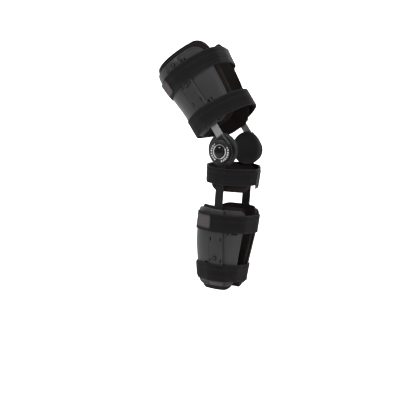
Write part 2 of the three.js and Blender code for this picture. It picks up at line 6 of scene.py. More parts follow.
import bmesh
import bpy
import numpy as np
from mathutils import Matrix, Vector


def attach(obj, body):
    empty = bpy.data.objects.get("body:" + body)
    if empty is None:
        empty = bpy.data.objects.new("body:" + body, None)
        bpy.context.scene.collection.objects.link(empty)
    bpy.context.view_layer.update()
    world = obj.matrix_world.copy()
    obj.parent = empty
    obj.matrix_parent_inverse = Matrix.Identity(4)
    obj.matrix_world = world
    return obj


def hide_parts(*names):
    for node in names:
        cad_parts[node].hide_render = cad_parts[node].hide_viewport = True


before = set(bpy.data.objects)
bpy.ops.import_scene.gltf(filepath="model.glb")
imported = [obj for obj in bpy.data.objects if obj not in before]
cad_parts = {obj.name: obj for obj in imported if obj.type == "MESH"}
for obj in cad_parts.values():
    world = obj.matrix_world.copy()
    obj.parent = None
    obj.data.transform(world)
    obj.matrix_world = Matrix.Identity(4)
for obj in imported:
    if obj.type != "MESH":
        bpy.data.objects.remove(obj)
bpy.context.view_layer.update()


# Cuff pads.
# Closed-cell foam with a brushed loop cloth laminated to both faces, cut larger than the shell.
# The edge is pressed thin and bound with tape, and hook patches hold the pad inside the shell.
SIDES = {"lateral": -1, "medial": 1}
FORM_GAP = 0.5
PAD_THICKNESS = 7.6
PAD_OUTSIDE = 8.5
BINDING_WIDTH = 6.0
BINDING_BLUR = 0.8
BOUND_THICKNESS = 3.4
SEAM_DEPTH = 0.55
SEAM_WIDTH = 0.9
PAD_RIM_INSET = 1.6
PAD_RISE_WIDTH = 9.5
PAD_ROW_STEP = 3.0

# Swell of the foam, as depth and width of the waves; the inner face has a fifth of it, and lifts
# towards the edge
PAD_SWELLS = [(0.35, 45), (0.12, 14)]
INSIDE_SWELL = 0.2
INSIDE_LIFT = 1.0
INSIDE_FULLNESS = 0.8

# Fitting form that each half is shaped on: its lean about the hinge, the line of its bar, and at
# each height half the width and the depths in front of and behind the bar's line
FORM = {
    "thigh": {
        "lean": -35.0,
        "bar_line": -16.5,
        "height": [40, 75, 130, 200, 255],
        "half_width": [51, 55, 61, 68, 73],
        "front": [49, 59.5, 72.5, 80.5, 85.5],
        "back": [67, 64.5, 63.5, 70.5, 72.5],
    },
    "calf": {
        "lean": 5.0,
        "bar_line": 0.0,
        "height": [-310, -270, -210, -160, -120, -58, -25],
        "half_width": [36, 41, 49, 52, 51, 49, 50],
        "front": [27, 30, 40, 48.5, 49.5, 53, 57],
        "back": [53, 59, 66.5, 66, 62, 62, 65],
    },
}

# Outlines: edges in degrees from the side towards the front, ends as heights, corner radii
CORNER_POINTS = 14
CUFF_PADS = {
    "thigh_pad_lateral": dict(back=-66, front=63, low=54, high=246, low_corner=46, high_corner=34),
    "thigh_pad_medial": dict(back=-60, front=52, low=54, high=246, low_corner=46, high_corner=34),
    "calf_pad_lateral": dict(back=-66, front=68, low=-312, high=-125, low_corner=28, high_corner=20),
    "calf_pad_medial": dict(back=-65, front=80, low=-312, high=-125, low_corner=44, high_corner=42),
}


def form_column(half, column, height):
    """One column of the form's table at any height, on a smooth curve through its rows."""
    rows = np.array(FORM[half]["height"], float)
    values = np.array(FORM[half][column], float)
    slopes = np.gradient(values)
    slopes[1:-1] = (values[2:] - values[:-2]) / (rows[2:] - rows[:-2])
    slopes[[0, -1]] = (values[[1, -1]] - values[[0, -2]]) / (rows[[1, -1]] - rows[[0, -2]])
    i = np.clip(np.searchsorted(rows, height) - 1, 0, len(rows) - 2)
    span = rows[i + 1] - rows[i]
    t = np.clip((height - rows[i]) / span, 0, 1)
    start_pull, end_pull = slopes[i] * span, slopes[i + 1] * span
    bend = 2 * (values[i] - values[i + 1]) + start_pull + end_pull
    lean = 3 * (values[i + 1] - values[i]) - 2 * start_pull - end_pull
    return values[i] + t * (start_pull + t * (lean + t * bend))


def form_point(half, sign, angle, height, off):
    """Points over the form, at angles from the side towards the front and distances off it."""
    angle, height, off = np.broadcast_arrays(angle, np.asarray(height, float), off)
    width = form_column(half, "half_width", height)
    depth = np.where(angle > 0, form_column(half, "front", height), form_column(half, "back", height))
    across, forward = np.cos(angle), np.sin(angle)
    length = np.hypot(across / width, forward / depth)
    x = width * across + off * across / width / length
    y = depth * forward + off * forward / depth / length
    return np.stack([sign * x, FORM[half]["bar_line"] - y, height], -1)


def angle_along(half, length, height, side):
    """Angle that a length round the outside of a pad takes up."""
    size = (form_column(half, "half_width", height) + form_column(half, side, height)) / 2
    return length / (size + PAD_OUTSIDE)


def placed(points, half):
    """Points of a half leaned into the row frame, in metres."""
    turn = math.radians(FORM[half]["lean"])
    x, y, z = np.moveaxis(np.asarray(points, float), -1, 0)
    turned = [x, y * math.cos(turn) - z * math.sin(turn), y * math.sin(turn) + z * math.cos(turn)]
    return np.stack(turned, -1) / 1000


def outline_rows(outline, step):
    """Heights of the rows of a wall with rounded corners, and how far each row draws in."""
    low, high = outline["low"], outline["high"]
    low_corner, high_corner = outline["low_corner"], outline["high_corner"]
    turn = np.linspace(0, np.pi / 2, CORNER_POINTS)
    count = max(int((high - high_corner - low - low_corner) / step), 2)
    middle = np.linspace(low + low_corner, high - high_corner, count + 1)[1:-1]
    heights = [low + low_corner * (1 - np.cos(turn)), middle, high - high_corner * (1 - np.sin(turn))]
    drawn = [low_corner * (1 - np.sin(turn)), 0 * middle, high_corner * (1 - np.cos(turn))]
    return np.concatenate(heights), np.concatenate(drawn)


def row_edges(half, outline, heights, drawn):
    """Angles of the back and front edges of an outline at its rows."""
    back = np.radians(outline["back"]) + angle_along(half, drawn, heights, "back")
    front = np.radians(outline["front"]) - angle_along(half, drawn, heights, "front")
    return back, front


def grid_rim(grid):
    """Points, or their numbers, once round the rim of a grid."""
    return np.concatenate([grid[0, :-1], grid[:-1, -1], grid[-1, :0:-1], grid[:0:-1, 0]])


def rim_distance(surface):
    """Straight distance of each point of a grid from the grid's rim, found block by block."""
    flat = surface.reshape(-1, 3)
    nearest = np.full(len(flat), np.inf)
    for block in np.array_split(grid_rim(surface), 16):
        gaps = np.linalg.norm(flat[:, None] - block[None], axis=-1)
        nearest = np.minimum(nearest, gaps.min(1))
    return nearest.reshape(surface.shape[:2])


def smooth_step(value):
    """0 to 1, with no slope at both ends."""
    t = np.clip(value, 0, 1)
    return t * t * (3 - 2 * t)


def ridge(distance, width):
    """1 at no distance, falling smoothly to nothing at about twice the width."""
    return np.exp(-((distance / width) ** 2))


def new_object(name, data):
    """Object in the scene, at the origin, for a mesh, curve, light or camera."""
    made = bpy.data.objects.new(name, data)
    bpy.context.scene.collection.objects.link(made)
    return made


def mesh_piece(name, points, faces, smooth_angle=40, marks=None):
    """Object at the origin, its faces outwards and its hard corners kept, with marks per point."""
    mesh = bpy.data.meshes.new(name)
    mesh.from_pydata(np.asarray(points).reshape(-1, 3).tolist(), [], [list(f) for f in faces])
    for mark, values in (marks or {}).items():
        attribute = mesh.attributes.new(mark, "FLOAT", "POINT")
        attribute.data.foreach_set("value", np.asarray(values, np.float32).ravel())
    tidy_mesh(mesh, smooth_angle)
    return new_object(name, mesh)


def tidy_mesh(mesh, smooth_angle):
    """Merges doubles, turns the faces outwards and marks the edges that stay hard."""
    work = bmesh.new()
    work.from_mesh(mesh)
    bmesh.ops.remove_doubles(work, verts=work.verts, dist=1e-6)
    bmesh.ops.dissolve_degenerate(work, edges=work.edges, dist=1e-7)
    bmesh.ops.recalc_face_normals(work, faces=work.faces)
    if work.calc_volume(signed=True) < 0:
        bmesh.ops.reverse_faces(work, faces=work.faces)
    for face in work.faces:
        face.smooth = True
    for edge in work.edges:
        edge.smooth = len(edge.link_faces) == 2 and edge.calc_face_angle(0) < math.radians(smooth_angle)
    work.to_mesh(mesh)
    work.free()


def ring_band(low, high):
    """Faces between rings of points, given by their numbers, each ring closed on itself."""
    corners = [low, np.roll(low, -1, -1), np.roll(high, -1, -1), high]
    return np.stack(corners, -1).reshape(-1, 4).tolist()


def wall(inside, outside, bulge, rim_steps=5):
    """Points and faces of a wall between two grids, closed by a rim that bulges outwards."""
    rows, columns = inside.shape[:2]
    grid = np.arange(rows * columns).reshape(rows, columns)
    rim = grid_rim(grid)
    inner, outer = inside.reshape(-1, 3), outside.reshape(-1, 3)
    middle = (inner[rim] + outer[rim]) / 2
    reach = (outer[rim] - inner[rim]) / 2
    out = np.cross(np.roll(middle, -1, 0) - np.roll(middle, 1, 0), reach)
    out /= np.linalg.norm(out, axis=1, keepdims=True)
    toward = (middle - middle.mean(0)) * out
    out *= np.sign(toward.sum())
    quads = np.stack([grid[:-1, :-1], grid[:-1, 1:], grid[1:, 1:], grid[1:, :-1]], -1).reshape(-1, 4)
    count = rows * columns
    points = [inner, outer]
    rings = [rim]
    for k, turn in enumerate(np.linspace(-np.pi / 2, np.pi / 2, rim_steps + 2)[1:-1]):
        rings.append(2 * count + k * len(rim) + np.arange(len(rim)))
        points.append(middle + out * bulge * math.cos(turn) + reach * math.sin(turn))
    rings.append(rim + count)
    faces = quads[:, ::-1].tolist() + (quads + count).tolist()
    for low, high in zip(rings[:-1], rings[1:]):
        faces += ring_band(low, high)
    return np.concatenate(points), faces


def wall_marks(points, inside, outside, rim):
    """Marks of a wall's points: a grid of values for each face, and one value round its rim."""
    around = np.full(len(points) - inside.size - outside.size, rim)
    return np.concatenate([inside.ravel(), outside.ravel(), around])


def pad_surface(half, sign, outline):
    """Grid of angles and heights over a pad, and the distance of each point from its rim."""
    heights, drawn = outline_rows(outline, PAD_ROW_STEP)
    back, front = row_edges(half, outline, heights, drawn + PAD_RIM_INSET)
    sweep = np.linspace(back.min(), front.max(), 60)
    widest = form_point(half, sign, sweep, heights.mean(), PAD_OUTSIDE)
    length = np.linalg.norm(np.diff(widest, axis=0), axis=1).sum()
    share = np.linspace(0, 1, int(length / PAD_ROW_STEP) + 1)
    angles = back[:, None] + (front - back)[:, None] * share
    heights = np.broadcast_to(heights[:, None], angles.shape)
    surface = form_point(half, sign, angles, heights, PAD_OUTSIDE)
    return angles, heights, rim_distance(surface)


def ripple(points, size, seed):
    """Slow random swell over points, about -1 to 1, as wide as a size in millimetres."""
    rng = np.random.default_rng(seed)
    total = np.zeros(points.shape[:-1])
    for _ in range(7):
        wave = rng.normal(size=3)
        wave *= 2 * np.pi / size / np.linalg.norm(wave) * rng.uniform(0.6, 1.6)
        total += np.sin(points @ wave + rng.uniform(0, 2 * np.pi))
    return total / 4


def pad_rise(rim):
    """Share of its full thickness that a pad has at a distance from its rim."""
    return smooth_step((rim + PAD_RIM_INSET) / PAD_RISE_WIDTH)


def pad_outside(rim, thickness):
    """Distance of a pad's outer face from the form: thin at the rim, sewn in behind the binding."""
    seam = SEAM_DEPTH * ridge(rim - BINDING_WIDTH, SEAM_WIDTH)
    return FORM_GAP + BOUND_THICKNESS + (thickness - BOUND_THICKNESS) * pad_rise(rim) - seam


def foam_pad(name, half, sign, outline, thickness, seed):
    """Soft pad over the form: full in the middle, pressed thin at its bound edge."""
    angles, heights, rim = pad_surface(half, sign, outline)
    surface = form_point(half, sign, angles, heights, PAD_OUTSIDE)
    rise = pad_rise(rim)
    waves = [depth * ripple(surface, size, seed + i) for i, (depth, size) in enumerate(PAD_SWELLS)]
    swell = sum(waves) * rise
    outer = pad_outside(rim, thickness) + swell
    inner = FORM_GAP + INSIDE_LIFT - INSIDE_FULLNESS * rise - INSIDE_SWELL * swell
    inside = form_point(half, sign, angles, heights, inner)
    outside = form_point(half, sign, angles, heights, outer)
    points, faces = wall(inside, outside, bulge=PAD_RIM_INSET)
    bound = smooth_step((BINDING_WIDTH - rim) / BINDING_BLUR + 0.5)
    free = smooth_step(rim / BINDING_WIDTH)
    marks = {
        "binding": wall_marks(points, bound, bound, 1.0),
        "held": wall_marks(points, np.ones(free.shape), 1 - free, 1.0),
    }
    return mesh_piece(name, placed(points, half), faces, smooth_angle=80, marks=marks)


def swell_cover(piece, pressure, cap, frames=16):
    """Presses the pad's cloth cover out from inside, held at its inner face and bound edge."""
    held = np.zeros(len(piece.data.vertices), np.float32)
    piece.data.attributes["held"].data.foreach_get("value", held)
    group = piece.vertex_groups.new(name="held")
    for i, weight in enumerate(held.tolist()):
        group.add([i], weight, "REPLACE")
    cloth = piece.modifiers.new("cover", "CLOTH")
    cloth.settings.quality = 4
    cloth.settings.mass = 0.2
    cloth.settings.tension_stiffness = 12
    cloth.settings.compression_stiffness = 12
    cloth.settings.bending_stiffness = 0.4
    cloth.settings.use_pressure = True
    cloth.settings.uniform_pressure_force = pressure
    cloth.settings.vertex_group_mass = group.name
    cloth.settings.effector_weights.gravity = 0
    cloth.point_cache.frame_end = frames
    start = np.array([v.co for v in piece.data.vertices])
    for step in range(1, frames + 1):
        bpy.context.scene.frame_set(step)
    swollen = piece.evaluated_get(bpy.context.evaluated_depsgraph_get()).data
    moved = np.array([v.co for v in swollen.vertices]) - start
    length = np.maximum(np.linalg.norm(moved, axis=1, keepdims=True), 1e-9)
    piece.modifiers.remove(cloth)
    piece.vertex_groups.remove(group)
    piece.data.vertices.foreach_set("co", (start + moved * np.minimum(1, cap / length)).ravel())
    bpy.context.scene.frame_set(1)


def linear(colour):
    """Linear colour of an sRGB hex value, with full alpha."""
    parts = [int(colour[i : i + 2], 16) / 255 for i in (1, 3, 5)]
    return [p / 12.92 if p <= 0.04045 else ((p + 0.055) / 1.055) ** 2.4 for p in parts] + [1.0]


def node(tree, kind, inputs=None, **settings):
    """Adds a node with its settings; an input, by name or number, is a value or a socket to link."""
    added = tree.nodes.new(kind)
    for name, value in settings.items():
        setattr(added, name, value)
    for name, value in (inputs or {}).items():
        if isinstance(value, bpy.types.NodeSocket):
            tree.links.new(value, added.inputs[name])
        else:
            added.inputs[name].default_value = value
    return added


def surface_material(name, **settings):
    """New material with the settings of its shader that are the same all over."""
    made = bpy.data.materials.new(name)
    made.use_nodes = True
    shader = made.node_tree.nodes["Principled BSDF"]
    for socket, value in settings.items():
        shader.inputs[socket.replace("_", " ")].default_value = value
    return made, made.node_tree, shader


# Brushed nylon loop cloth on foam: matt and almost black, with a short nap that lightens it
# at grazing angles. Loops are 0.4 mm, drawn at 1.3 mm so that they show in the render, and worn
# patches are about 28.5 mm across.
LOOP_SIZE = 0.0013
PATCH_SIZE = 0.0285
loop_cloth, tree, shader = surface_material(
    "brushed_loop_cloth", Roughness=0.95, Sheen_Weight=0.1, Sheen_Roughness=0.45, IOR=1.5
)
shader.inputs["Sheen Tint"].default_value = linear("#6d625c")
shader.inputs["Specular IOR Level"].default_value = 0.25
place = node(tree, "ShaderNodeTexCoord")
loops = node(
    tree,
    "ShaderNodeTexNoise",
    {"Vector": place.outputs["Object"], "Scale": 1 / LOOP_SIZE, "Detail": 3.0, "Roughness": 0.65},
)
patches = node(
    tree,
    "ShaderNodeTexNoise",
    {"Vector": place.outputs["Object"], "Scale": 1 / PATCH_SIZE, "Detail": 2.0},
)
nap = node(
    tree,
    "ShaderNodeMix",
    {0: loops.outputs["Fac"], 6: linear("#0a0807"), 7: linear("#1a1615")},
    data_type="RGBA",
)
wear_and_painted_highlight = node(
    tree,
    "ShaderNodeMix",
    {0: patches.outputs["Fac"], 6: nap.outputs[2], 7: linear("#15110f")},
    data_type="RGBA",
)
bound = node(tree, "ShaderNodeAttribute", attribute_name="binding")
tape = node(
    tree,
    "ShaderNodeMix",
    {0: bound.outputs["Fac"], 6: wear_and_painted_highlight.outputs[2], 7: linear("#150e0b")},
    data_type="RGBA",
)
tree.links.new(tape.outputs[2], shader.inputs["Base Color"])
fuzz = node(
    tree,
    "ShaderNodeBump",
    {"Height": loops.outputs["Fac"], "Strength": 0.55, "Distance": 0.0009},
)
tree.links.new(fuzz.outputs["Normal"], shader.inputs["Normal"])

for seed, (name, outline) in enumerate(CUFF_PADS.items()):
    half, _, side = name.split("_")
    pad = foam_pad(name + "_foam", half, SIDES[side], outline, PAD_THICKNESS, seed)
    swell_cover(pad, pressure=3.0, cap=0.0006)
    pad.data.materials.append(loop_cloth)
    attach(pad, half)
    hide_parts(name)


# Cuff shells.
# Injection-moulded polypropylene, 2.5 mm thick, bowed over the pad. A raised channel along the
# middle is a tunnel for the bar; slots core it out, and slits beside it guide the straps.
SHELL_INSIDE = 9.5
SHELL_THICKNESS = 2.5
BAR_THICKNESS = 3.0
BAR_GAP = 0.3
CHANNEL_CLEARANCE = 1.0
CHANNEL_TOP_HALF = 13.0
CHANNEL_BASE_HALF = 16.5
CHANNEL_END_SLOPE = 8.0
CHANNEL_FOOT = 3.0
CHANNEL_SHOULDER = 1.0
GROOVE_WIDTH = 1.6
GROOVE_DEPTH = 0.6
SHELL_CORNER_CUT = 6.0
SHELL_RIM_INSET = 0.9
SHELL_ROW_STEP = 2.2

# Rolled lip at the shell's edge and the dip behind it: distance from the rim, width and height
SHELL_LIPS = [(1.2, 1.3, 0.7), (4.2, 0.9, -0.35)]

# How far the cutters of the slots reach inwards and outwards from the shell's inner face
CUTTER_REACH = (6, 16)
CUTTER_POINTS = 16

# Border of the pad that shows round the shell
SHELL_MARGINS = {
    "thigh": dict(back=7, front=18, low=5.5, high=12.5),
    "calf": dict(back=7, front=7, low=9.5, high=5.5),
}

# Bars under the channels: which way they run, distance from the mid plane at the hinge, half
# width, neck where the hinge head has drawn in to the bar, end of the flat stretch, place where
# the bar starts to follow the pad, far end, and far end of the shell
BARS = {
    "thigh": dict(up=1, hinge=63.4, half=8.5, neck=32, flat=50, bend=75, reach=215, shell_end=233.5),
    "calf": dict(up=-1, hinge=60.0, half=10.0, neck=32, flat=37, bend=160, reach=265, shell_end=-302.5),
}

# Cuts through a shell, by place in front of the bar's line and height, width and length:
# upright core slots in the channel, and slits and notches at the strap's edges
SHELL_CUTS = {
    "thigh": [
        dict(across=-11, height=169, width=3.0, length=10),
        dict(across=11, height=169, width=3.0, length=10),
        dict(across=-11, height=124, width=3.0, length=10),
        dict(across=11, height=124, width=3.0, length=10),
        dict(across=22, height=111, width=4.4, length=7),
        dict(across=30, height=112, width=3.0, length=8),
        dict(across=-24, height=219, width=4.0, length=7),
        dict(across=21, height=220, width=3.0, length=8),
        dict(across=28, height=219, width=4.0, length=7),
    ],
    "calf": [
        dict(across=-11, height=-196, width=3.0, length=10),
        dict(across=11, height=-196, width=3.0, length=10),
        dict(across=-11, height=-244, width=3.0, length=10),
        dict(across=11, height=-244, width=3.0, length=10),
        dict(across=24, height=-183, width=4.0, length=6),
        dict(across=36, height=-182.5, width=13.0, length=4),
        dict(across=-26, height=-251.5, width=9.0, length=4),
    ],
}


def bar_inside(half, height):
    """Distance of a bar's inner face from the mid plane: flat at the hinge, then along the pad."""
    bar = BARS[half]
    run = bar["up"] * np.asarray(height, float)
    on_pad = form_column(half, "half_width", np.asarray(height, float)) + PAD_OUTSIDE + BAR_GAP
    return np.where(
        run <= bar["flat"],
        bar["hinge"],
        np.where(run < bar["bend"], np.maximum(bar["hinge"], on_pad), on_pad),
    )


def shell_angle(half, across, height):
    """Angle of a place on a shell, given by its distance in front of the bar's line."""
    depth = np.where(across > 0, form_column(half, "front", height), form_column(half, "back", height))
    return np.arcsin(np.clip(across / (depth + SHELL_INSIDE), -1, 1))


def channel_rise(half, across, height):
    """Rise of the channel over the shell, with rounded shoulders and feet."""
    bar = BARS[half]
    width = form_column(half, "half_width", height)
    depth = np.minimum(form_column(half, "front", height), form_column(half, "back", height))
    fall = (width + SHELL_INSIDE) * (1 - np.sqrt(1 - (bar["half"] / (depth + SHELL_INSIDE)) ** 2))
    rise = bar_inside(half, height) + BAR_THICKNESS + CHANNEL_CLEARANCE + fall - width - SHELL_INSIDE
    from_end = np.clip(np.abs(bar["shell_end"] - height) / CHANNEL_END_SLOPE, 0, 1)
    flank = (CHANNEL_BASE_HALF - np.abs(across)) / (CHANNEL_BASE_HALF - CHANNEL_TOP_HALF)
    return rise * smooth_step(from_end) * smooth_step(flank)


def shell_outline(half, pad):
    """Outline of the shell on a pad, with the pad's border showing all round."""
    margin = SHELL_MARGINS[half]
    middle = (pad["low"] + pad["high"]) / 2
    return dict(
        back=pad["back"] + math.degrees(angle_along(half, margin["back"], middle, "back")),
        front=pad["front"] - math.degrees(angle_along(half, margin["front"], middle, "front")),
        low=pad["low"] + margin["low"],
        high=pad["high"] - margin["high"],
        low_corner=pad["low_corner"] - SHELL_CORNER_CUT,
        high_corner=pad["high_corner"] - SHELL_CORNER_CUT,
    )


def shell_wall(half, sign, outline):
    """Points and faces of a shell, with closer columns on the channel and its grooves' painted shade
    marked.
    """
    heights, drawn = outline_rows(outline, SHELL_ROW_STEP)
    back, front = row_edges(half, outline, heights, drawn + SHELL_RIM_INSET)
    foot, shoulder = CHANNEL_BASE_HALF + CHANNEL_FOOT, CHANNEL_TOP_HALF - CHANNEL_SHOULDER
    flank = np.linspace(shoulder, foot, 13)
    top = np.linspace(-shoulder, shoulder, 13)[1:-1]
    channel = np.concatenate([-flank[::-1], top, flank])
    middle = shell_angle(half, channel[None, :], heights[:, None])
    share = np.linspace(0, 1, 27)[:-1]
    back_part = back[:, None] + (middle[:, :1] - back[:, None]) * share
    front_part = front[:, None] + (middle[:, -1:] - front[:, None]) * share
    angles = np.concatenate([back_part, middle, front_part[:, ::-1]], 1)
    off_channel = np.full(share.shape, np.inf)
    across = np.concatenate([off_channel, channel, off_channel])[None, :]
    heights = np.broadcast_to(heights[:, None], angles.shape)
    rim = rim_distance(form_point(half, sign, angles, heights, SHELL_INSIDE))
    lip = sum(height * ridge(rim - place, width) for place, width, height in SHELL_LIPS)
    lift = channel_rise(half, across, heights)
    # Groove at the channel's foot: cut into the shell, and marked for the painted shade laid in it
    groove_and_painted_shade = ridge(np.abs(across) - CHANNEL_BASE_HALF, GROOVE_WIDTH)
    off = SHELL_INSIDE + SHELL_THICKNESS + lift + lip - GROOVE_DEPTH * groove_and_painted_shade
    inside = form_point(half, sign, angles, heights, SHELL_INSIDE + lift)
    outside = form_point(half, sign, angles, heights, off)
    points, faces = wall(inside, outside, bulge=SHELL_RIM_INSET)
    groove_and_painted_shade = np.broadcast_to(groove_and_painted_shade, angles.shape)
    return points, faces, {"groove_and_painted_shade": wall_marks(points, 0 * groove_and_painted_shade, groove_and_painted_shade, 0.0)}


def shell_frame(half, sign, across, height, off):
    """Place on a shell and its directions: out of the surface, round the half and along it."""
    angle = shell_angle(half, np.float64(across), np.float64(height))
    place = form_point(half, sign, angle, height, off)
    above, below = (form_point(half, sign, angle, height + step, off) for step in (1, -1))
    along = (above - below) / np.linalg.norm(above - below)
    around = np.cross(along, form_point(half, sign, angle, height, off + 1) - place)
    around /= np.linalg.norm(around)
    return place, np.cross(around, along), around, along


def prism_faces(start, count):
    """Faces of a closed prism whose two rings of points are numbered one after the other."""
    low, high = start + np.arange(count), start + count + np.arange(count)
    return ring_band(low, high) + [low.tolist(), high.tolist()]


def slot_cutters(half, sign):
    """One object of round-ended cutters for all the cuts of a shell."""
    turn = np.linspace(0, 2 * np.pi, CUTTER_POINTS, endpoint=False)
    points, faces = [], []
    for cut in SHELL_CUTS[half]:
        place, out, around, along = shell_frame(half, sign, cut["across"], cut["height"], SHELL_INSIDE)
        radius = min(cut["width"], cut["length"]) / 2
        side = np.cos(turn) * radius + np.sign(np.cos(turn)) * (cut["width"] / 2 - radius)
        run = np.sin(turn) * radius + np.sign(np.sin(turn)) * (cut["length"] / 2 - radius)
        ring = place + side[:, None] * around + run[:, None] * along
        faces += prism_faces(len(points) * CUTTER_POINTS, CUTTER_POINTS)
        points += [ring - CUTTER_REACH[0] * out, ring + CUTTER_REACH[1] * out]
    return mesh_piece("slot_cutters", placed(np.concatenate(points), half), faces)


def plain_mesh(piece):
    """New mesh of an object as its modifiers leave it."""
    return bpy.data.meshes.new_from_object(piece.evaluated_get(bpy.context.evaluated_depsgraph_get()))


def cut_away(piece, cutter, smooth_angle):
    """Takes the cutter's volume out of a piece and deletes the cutter."""
    cut = piece.modifiers.new("cut", "BOOLEAN")
    cut.solver = "EXACT"
    cut.object = cutter
    left = plain_mesh(piece)
    piece.modifiers.remove(cut)
    piece.data = left
    bpy.data.objects.remove(cutter)
    tidy_mesh(left, smooth_angle)


# Polypropylene from a spark-eroded mould: satin dark grey, with a fine even grain, a faint
# cloudy flow, rubbed, lighter corners, and painted shade in the grooves at the channel's foot.
# The 0.25 mm grain is drawn at 0.9 mm to show; the flow of the melt clouds it every 55 mm.
GRAIN_SIZE = 0.0009
FLOW_SIZE = 0.055
shell_plastic, tree, shader = surface_material("moulded_polypropylene", IOR=1.49)
place = node(tree, "ShaderNodeTexCoord")
grain = node(
    tree,
    "ShaderNodeTexNoise",
    {"Vector": place.outputs["Object"], "Scale": 1 / GRAIN_SIZE, "Detail": 2.0, "Roughness": 0.5},
)
flow = node(
    tree,
    "ShaderNodeTexNoise",
    {"Vector": place.outputs["Object"], "Scale": 1 / FLOW_SIZE, "Detail": 4.0},
)
corner = node(tree, "ShaderNodeNewGeometry")
rubbed_edge_and_painted_highlight = node(
    tree,
    "ShaderNodeMapRange",
    {"Value": corner.outputs["Pointiness"], "From Min": 0.52, "From Max": 0.6, "To Max": 0.7},
)
tone = node(
    tree,
    "ShaderNodeMix",
    {0: flow.outputs["Fac"], 6: linear("#1b1b1c"), 7: linear("#252526")},
    data_type="RGBA",
)
wear_and_painted_highlight = node(
    tree,
    "ShaderNodeMix",
    {0: rubbed_edge_and_painted_highlight.outputs["Result"], 6: tone.outputs[2], 7: linear("#3f3f43")},
    data_type="RGBA",
)
# Painted shade: the grooves at the channel's foot are darkened almost to black.
groove_and_painted_shade = node(tree, "ShaderNodeAttribute", attribute_name="groove_and_painted_shade")
sunk = node(
    tree,
    "ShaderNodeMix",
    {0: groove_and_painted_shade.outputs["Fac"], 6: wear_and_painted_highlight.outputs[2], 7: linear("#0b0b0c")},
    data_type="RGBA",
)
tree.links.new(sunk.outputs[2], shader.inputs["Base Color"])
satin = node(
    tree,
    "ShaderNodeMapRange",
    {"Value": flow.outputs["Fac"], "From Min": 0.3, "From Max": 0.7, "To Min": 0.46, "To Max": 0.58},
)
tree.links.new(satin.outputs["Result"], shader.inputs["Roughness"])
pebble = node(
    tree, "ShaderNodeBump", {"Height": grain.outputs["Fac"], "Strength": 0.25, "Distance": 0.0003}
)
tree.links.new(pebble.outputs["Normal"], shader.inputs["Normal"])

for name, pad in CUFF_PADS.items():
    half, _, side = name.split("_")
    node_name = name.replace("_pad_", "_shell_")
    points, faces, marks = shell_wall(half, SIDES[side], shell_outline(half, pad))
    shell = mesh_piece(node_name + "_moulding", placed(points, half), faces, marks=marks)
    cut_away(shell, slot_cutters(half, SIDES[side]), smooth_angle=40)
    shell.data.materials.append(shell_plastic)
    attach(shell, half)
    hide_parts(node_name)


# Bars.
# Flat strips punched from 3 mm aluminium sheet, their edges tumbled round. The thigh pair is
# brushed and the calf pair anodised black; each slides into its channel and turns on the pin.
BAR_HEAD_RADIUS = 20.0
BAR_ROW_STEP = 3.0
BAR_EDGE_ROUND = 0.45
PIN_HOLE_RADIUS = 4.3
PIN_HOLE_POINTS = 48
PIN_HOLE_REACH = 200.0

# Length on each side of a bend over which the bar is rounded
BAR_BEND_HALF = 7.0


def plate_edges(radius, line, half_width, neck, heights):
    """Left and right edges of a hinge plate: a disc on the axis, drawn in to a neck and a strip."""
    edges = []
    for side in (-1, 1):
        corner_y = line + side * half_width
        corner = math.atan2(neck, corner_y)
        touch = corner - side * math.acos(radius / math.hypot(corner_y, neck))
        touch_y, touch_z = radius * math.cos(touch), radius * math.sin(touch)
        disc = side * np.sqrt(np.maximum(radius**2 - heights**2, 0))
        share = np.clip((heights - touch_z) / (neck - touch_z), 0, 1)
        edges.append(np.where(heights < touch_z, disc, touch_y + share * (corner_y - touch_y)))
    return edges


def plate_rows(radius, neck, reach, step):
    """Heights of the rows of a hinge plate, closer together round its disc."""
    turn = np.linspace(0.1, np.pi / 2, 15)
    end = max(reach, neck)
    return np.concatenate([-radius * np.cos(turn), np.arange(0, end, step)[1:], [end]])


def bar_wall(half, sign):
    """Points and faces of a bar, bent from the hinge plate out along the pad."""
    bar = BARS[half]
    heights = plate_rows(BAR_HEAD_RADIUS, bar["neck"], bar["reach"], BAR_ROW_STEP)
    left, right = plate_edges(BAR_HEAD_RADIUS, FORM[half]["bar_line"], bar["half"], bar["neck"], heights)
    share = np.linspace(0, 1, 15)
    y = left[:, None] + (right - left)[:, None] * share
    z = np.broadcast_to(bar["up"] * heights[:, None], y.shape)
    shifts = np.linspace(-BAR_BEND_HALF, BAR_BEND_HALF, 15)
    inner = np.mean([bar_inside(half, bar["up"] * np.maximum(heights + d, 0)) for d in shifts], axis=0)
    x = np.broadcast_to(inner[:, None], y.shape)
    inside = np.stack([sign * x, y, z], -1)
    outside = np.stack([sign * (x + BAR_THICKNESS), y, z], -1)
    return wall(inside, outside, bulge=BAR_EDGE_ROUND, rim_steps=3)


def pin_hole_cutter():
    """Cylinder on the hinge axis, right through the brace."""
    turn = np.linspace(0, 2 * np.pi, PIN_HOLE_POINTS, endpoint=False)
    ring = PIN_HOLE_RADIUS * np.stack([0 * turn, np.cos(turn), np.sin(turn)], -1)
    end = np.array([PIN_HOLE_REACH, 0, 0])
    points = np.concatenate([ring - end, ring + end])
    return mesh_piece("pin_hole", points / 1000, prism_faces(0, PIN_HOLE_POINTS))


# Scratches of the brush are 0.1 mm apart, drawn at 0.5 mm to show, and 40 mm long; handling has
# left smears about 17 mm across.
SCRATCH_SIZE = 0.0005
SCRATCH_LENGTH = 0.04
SMEAR_SIZE = 0.017


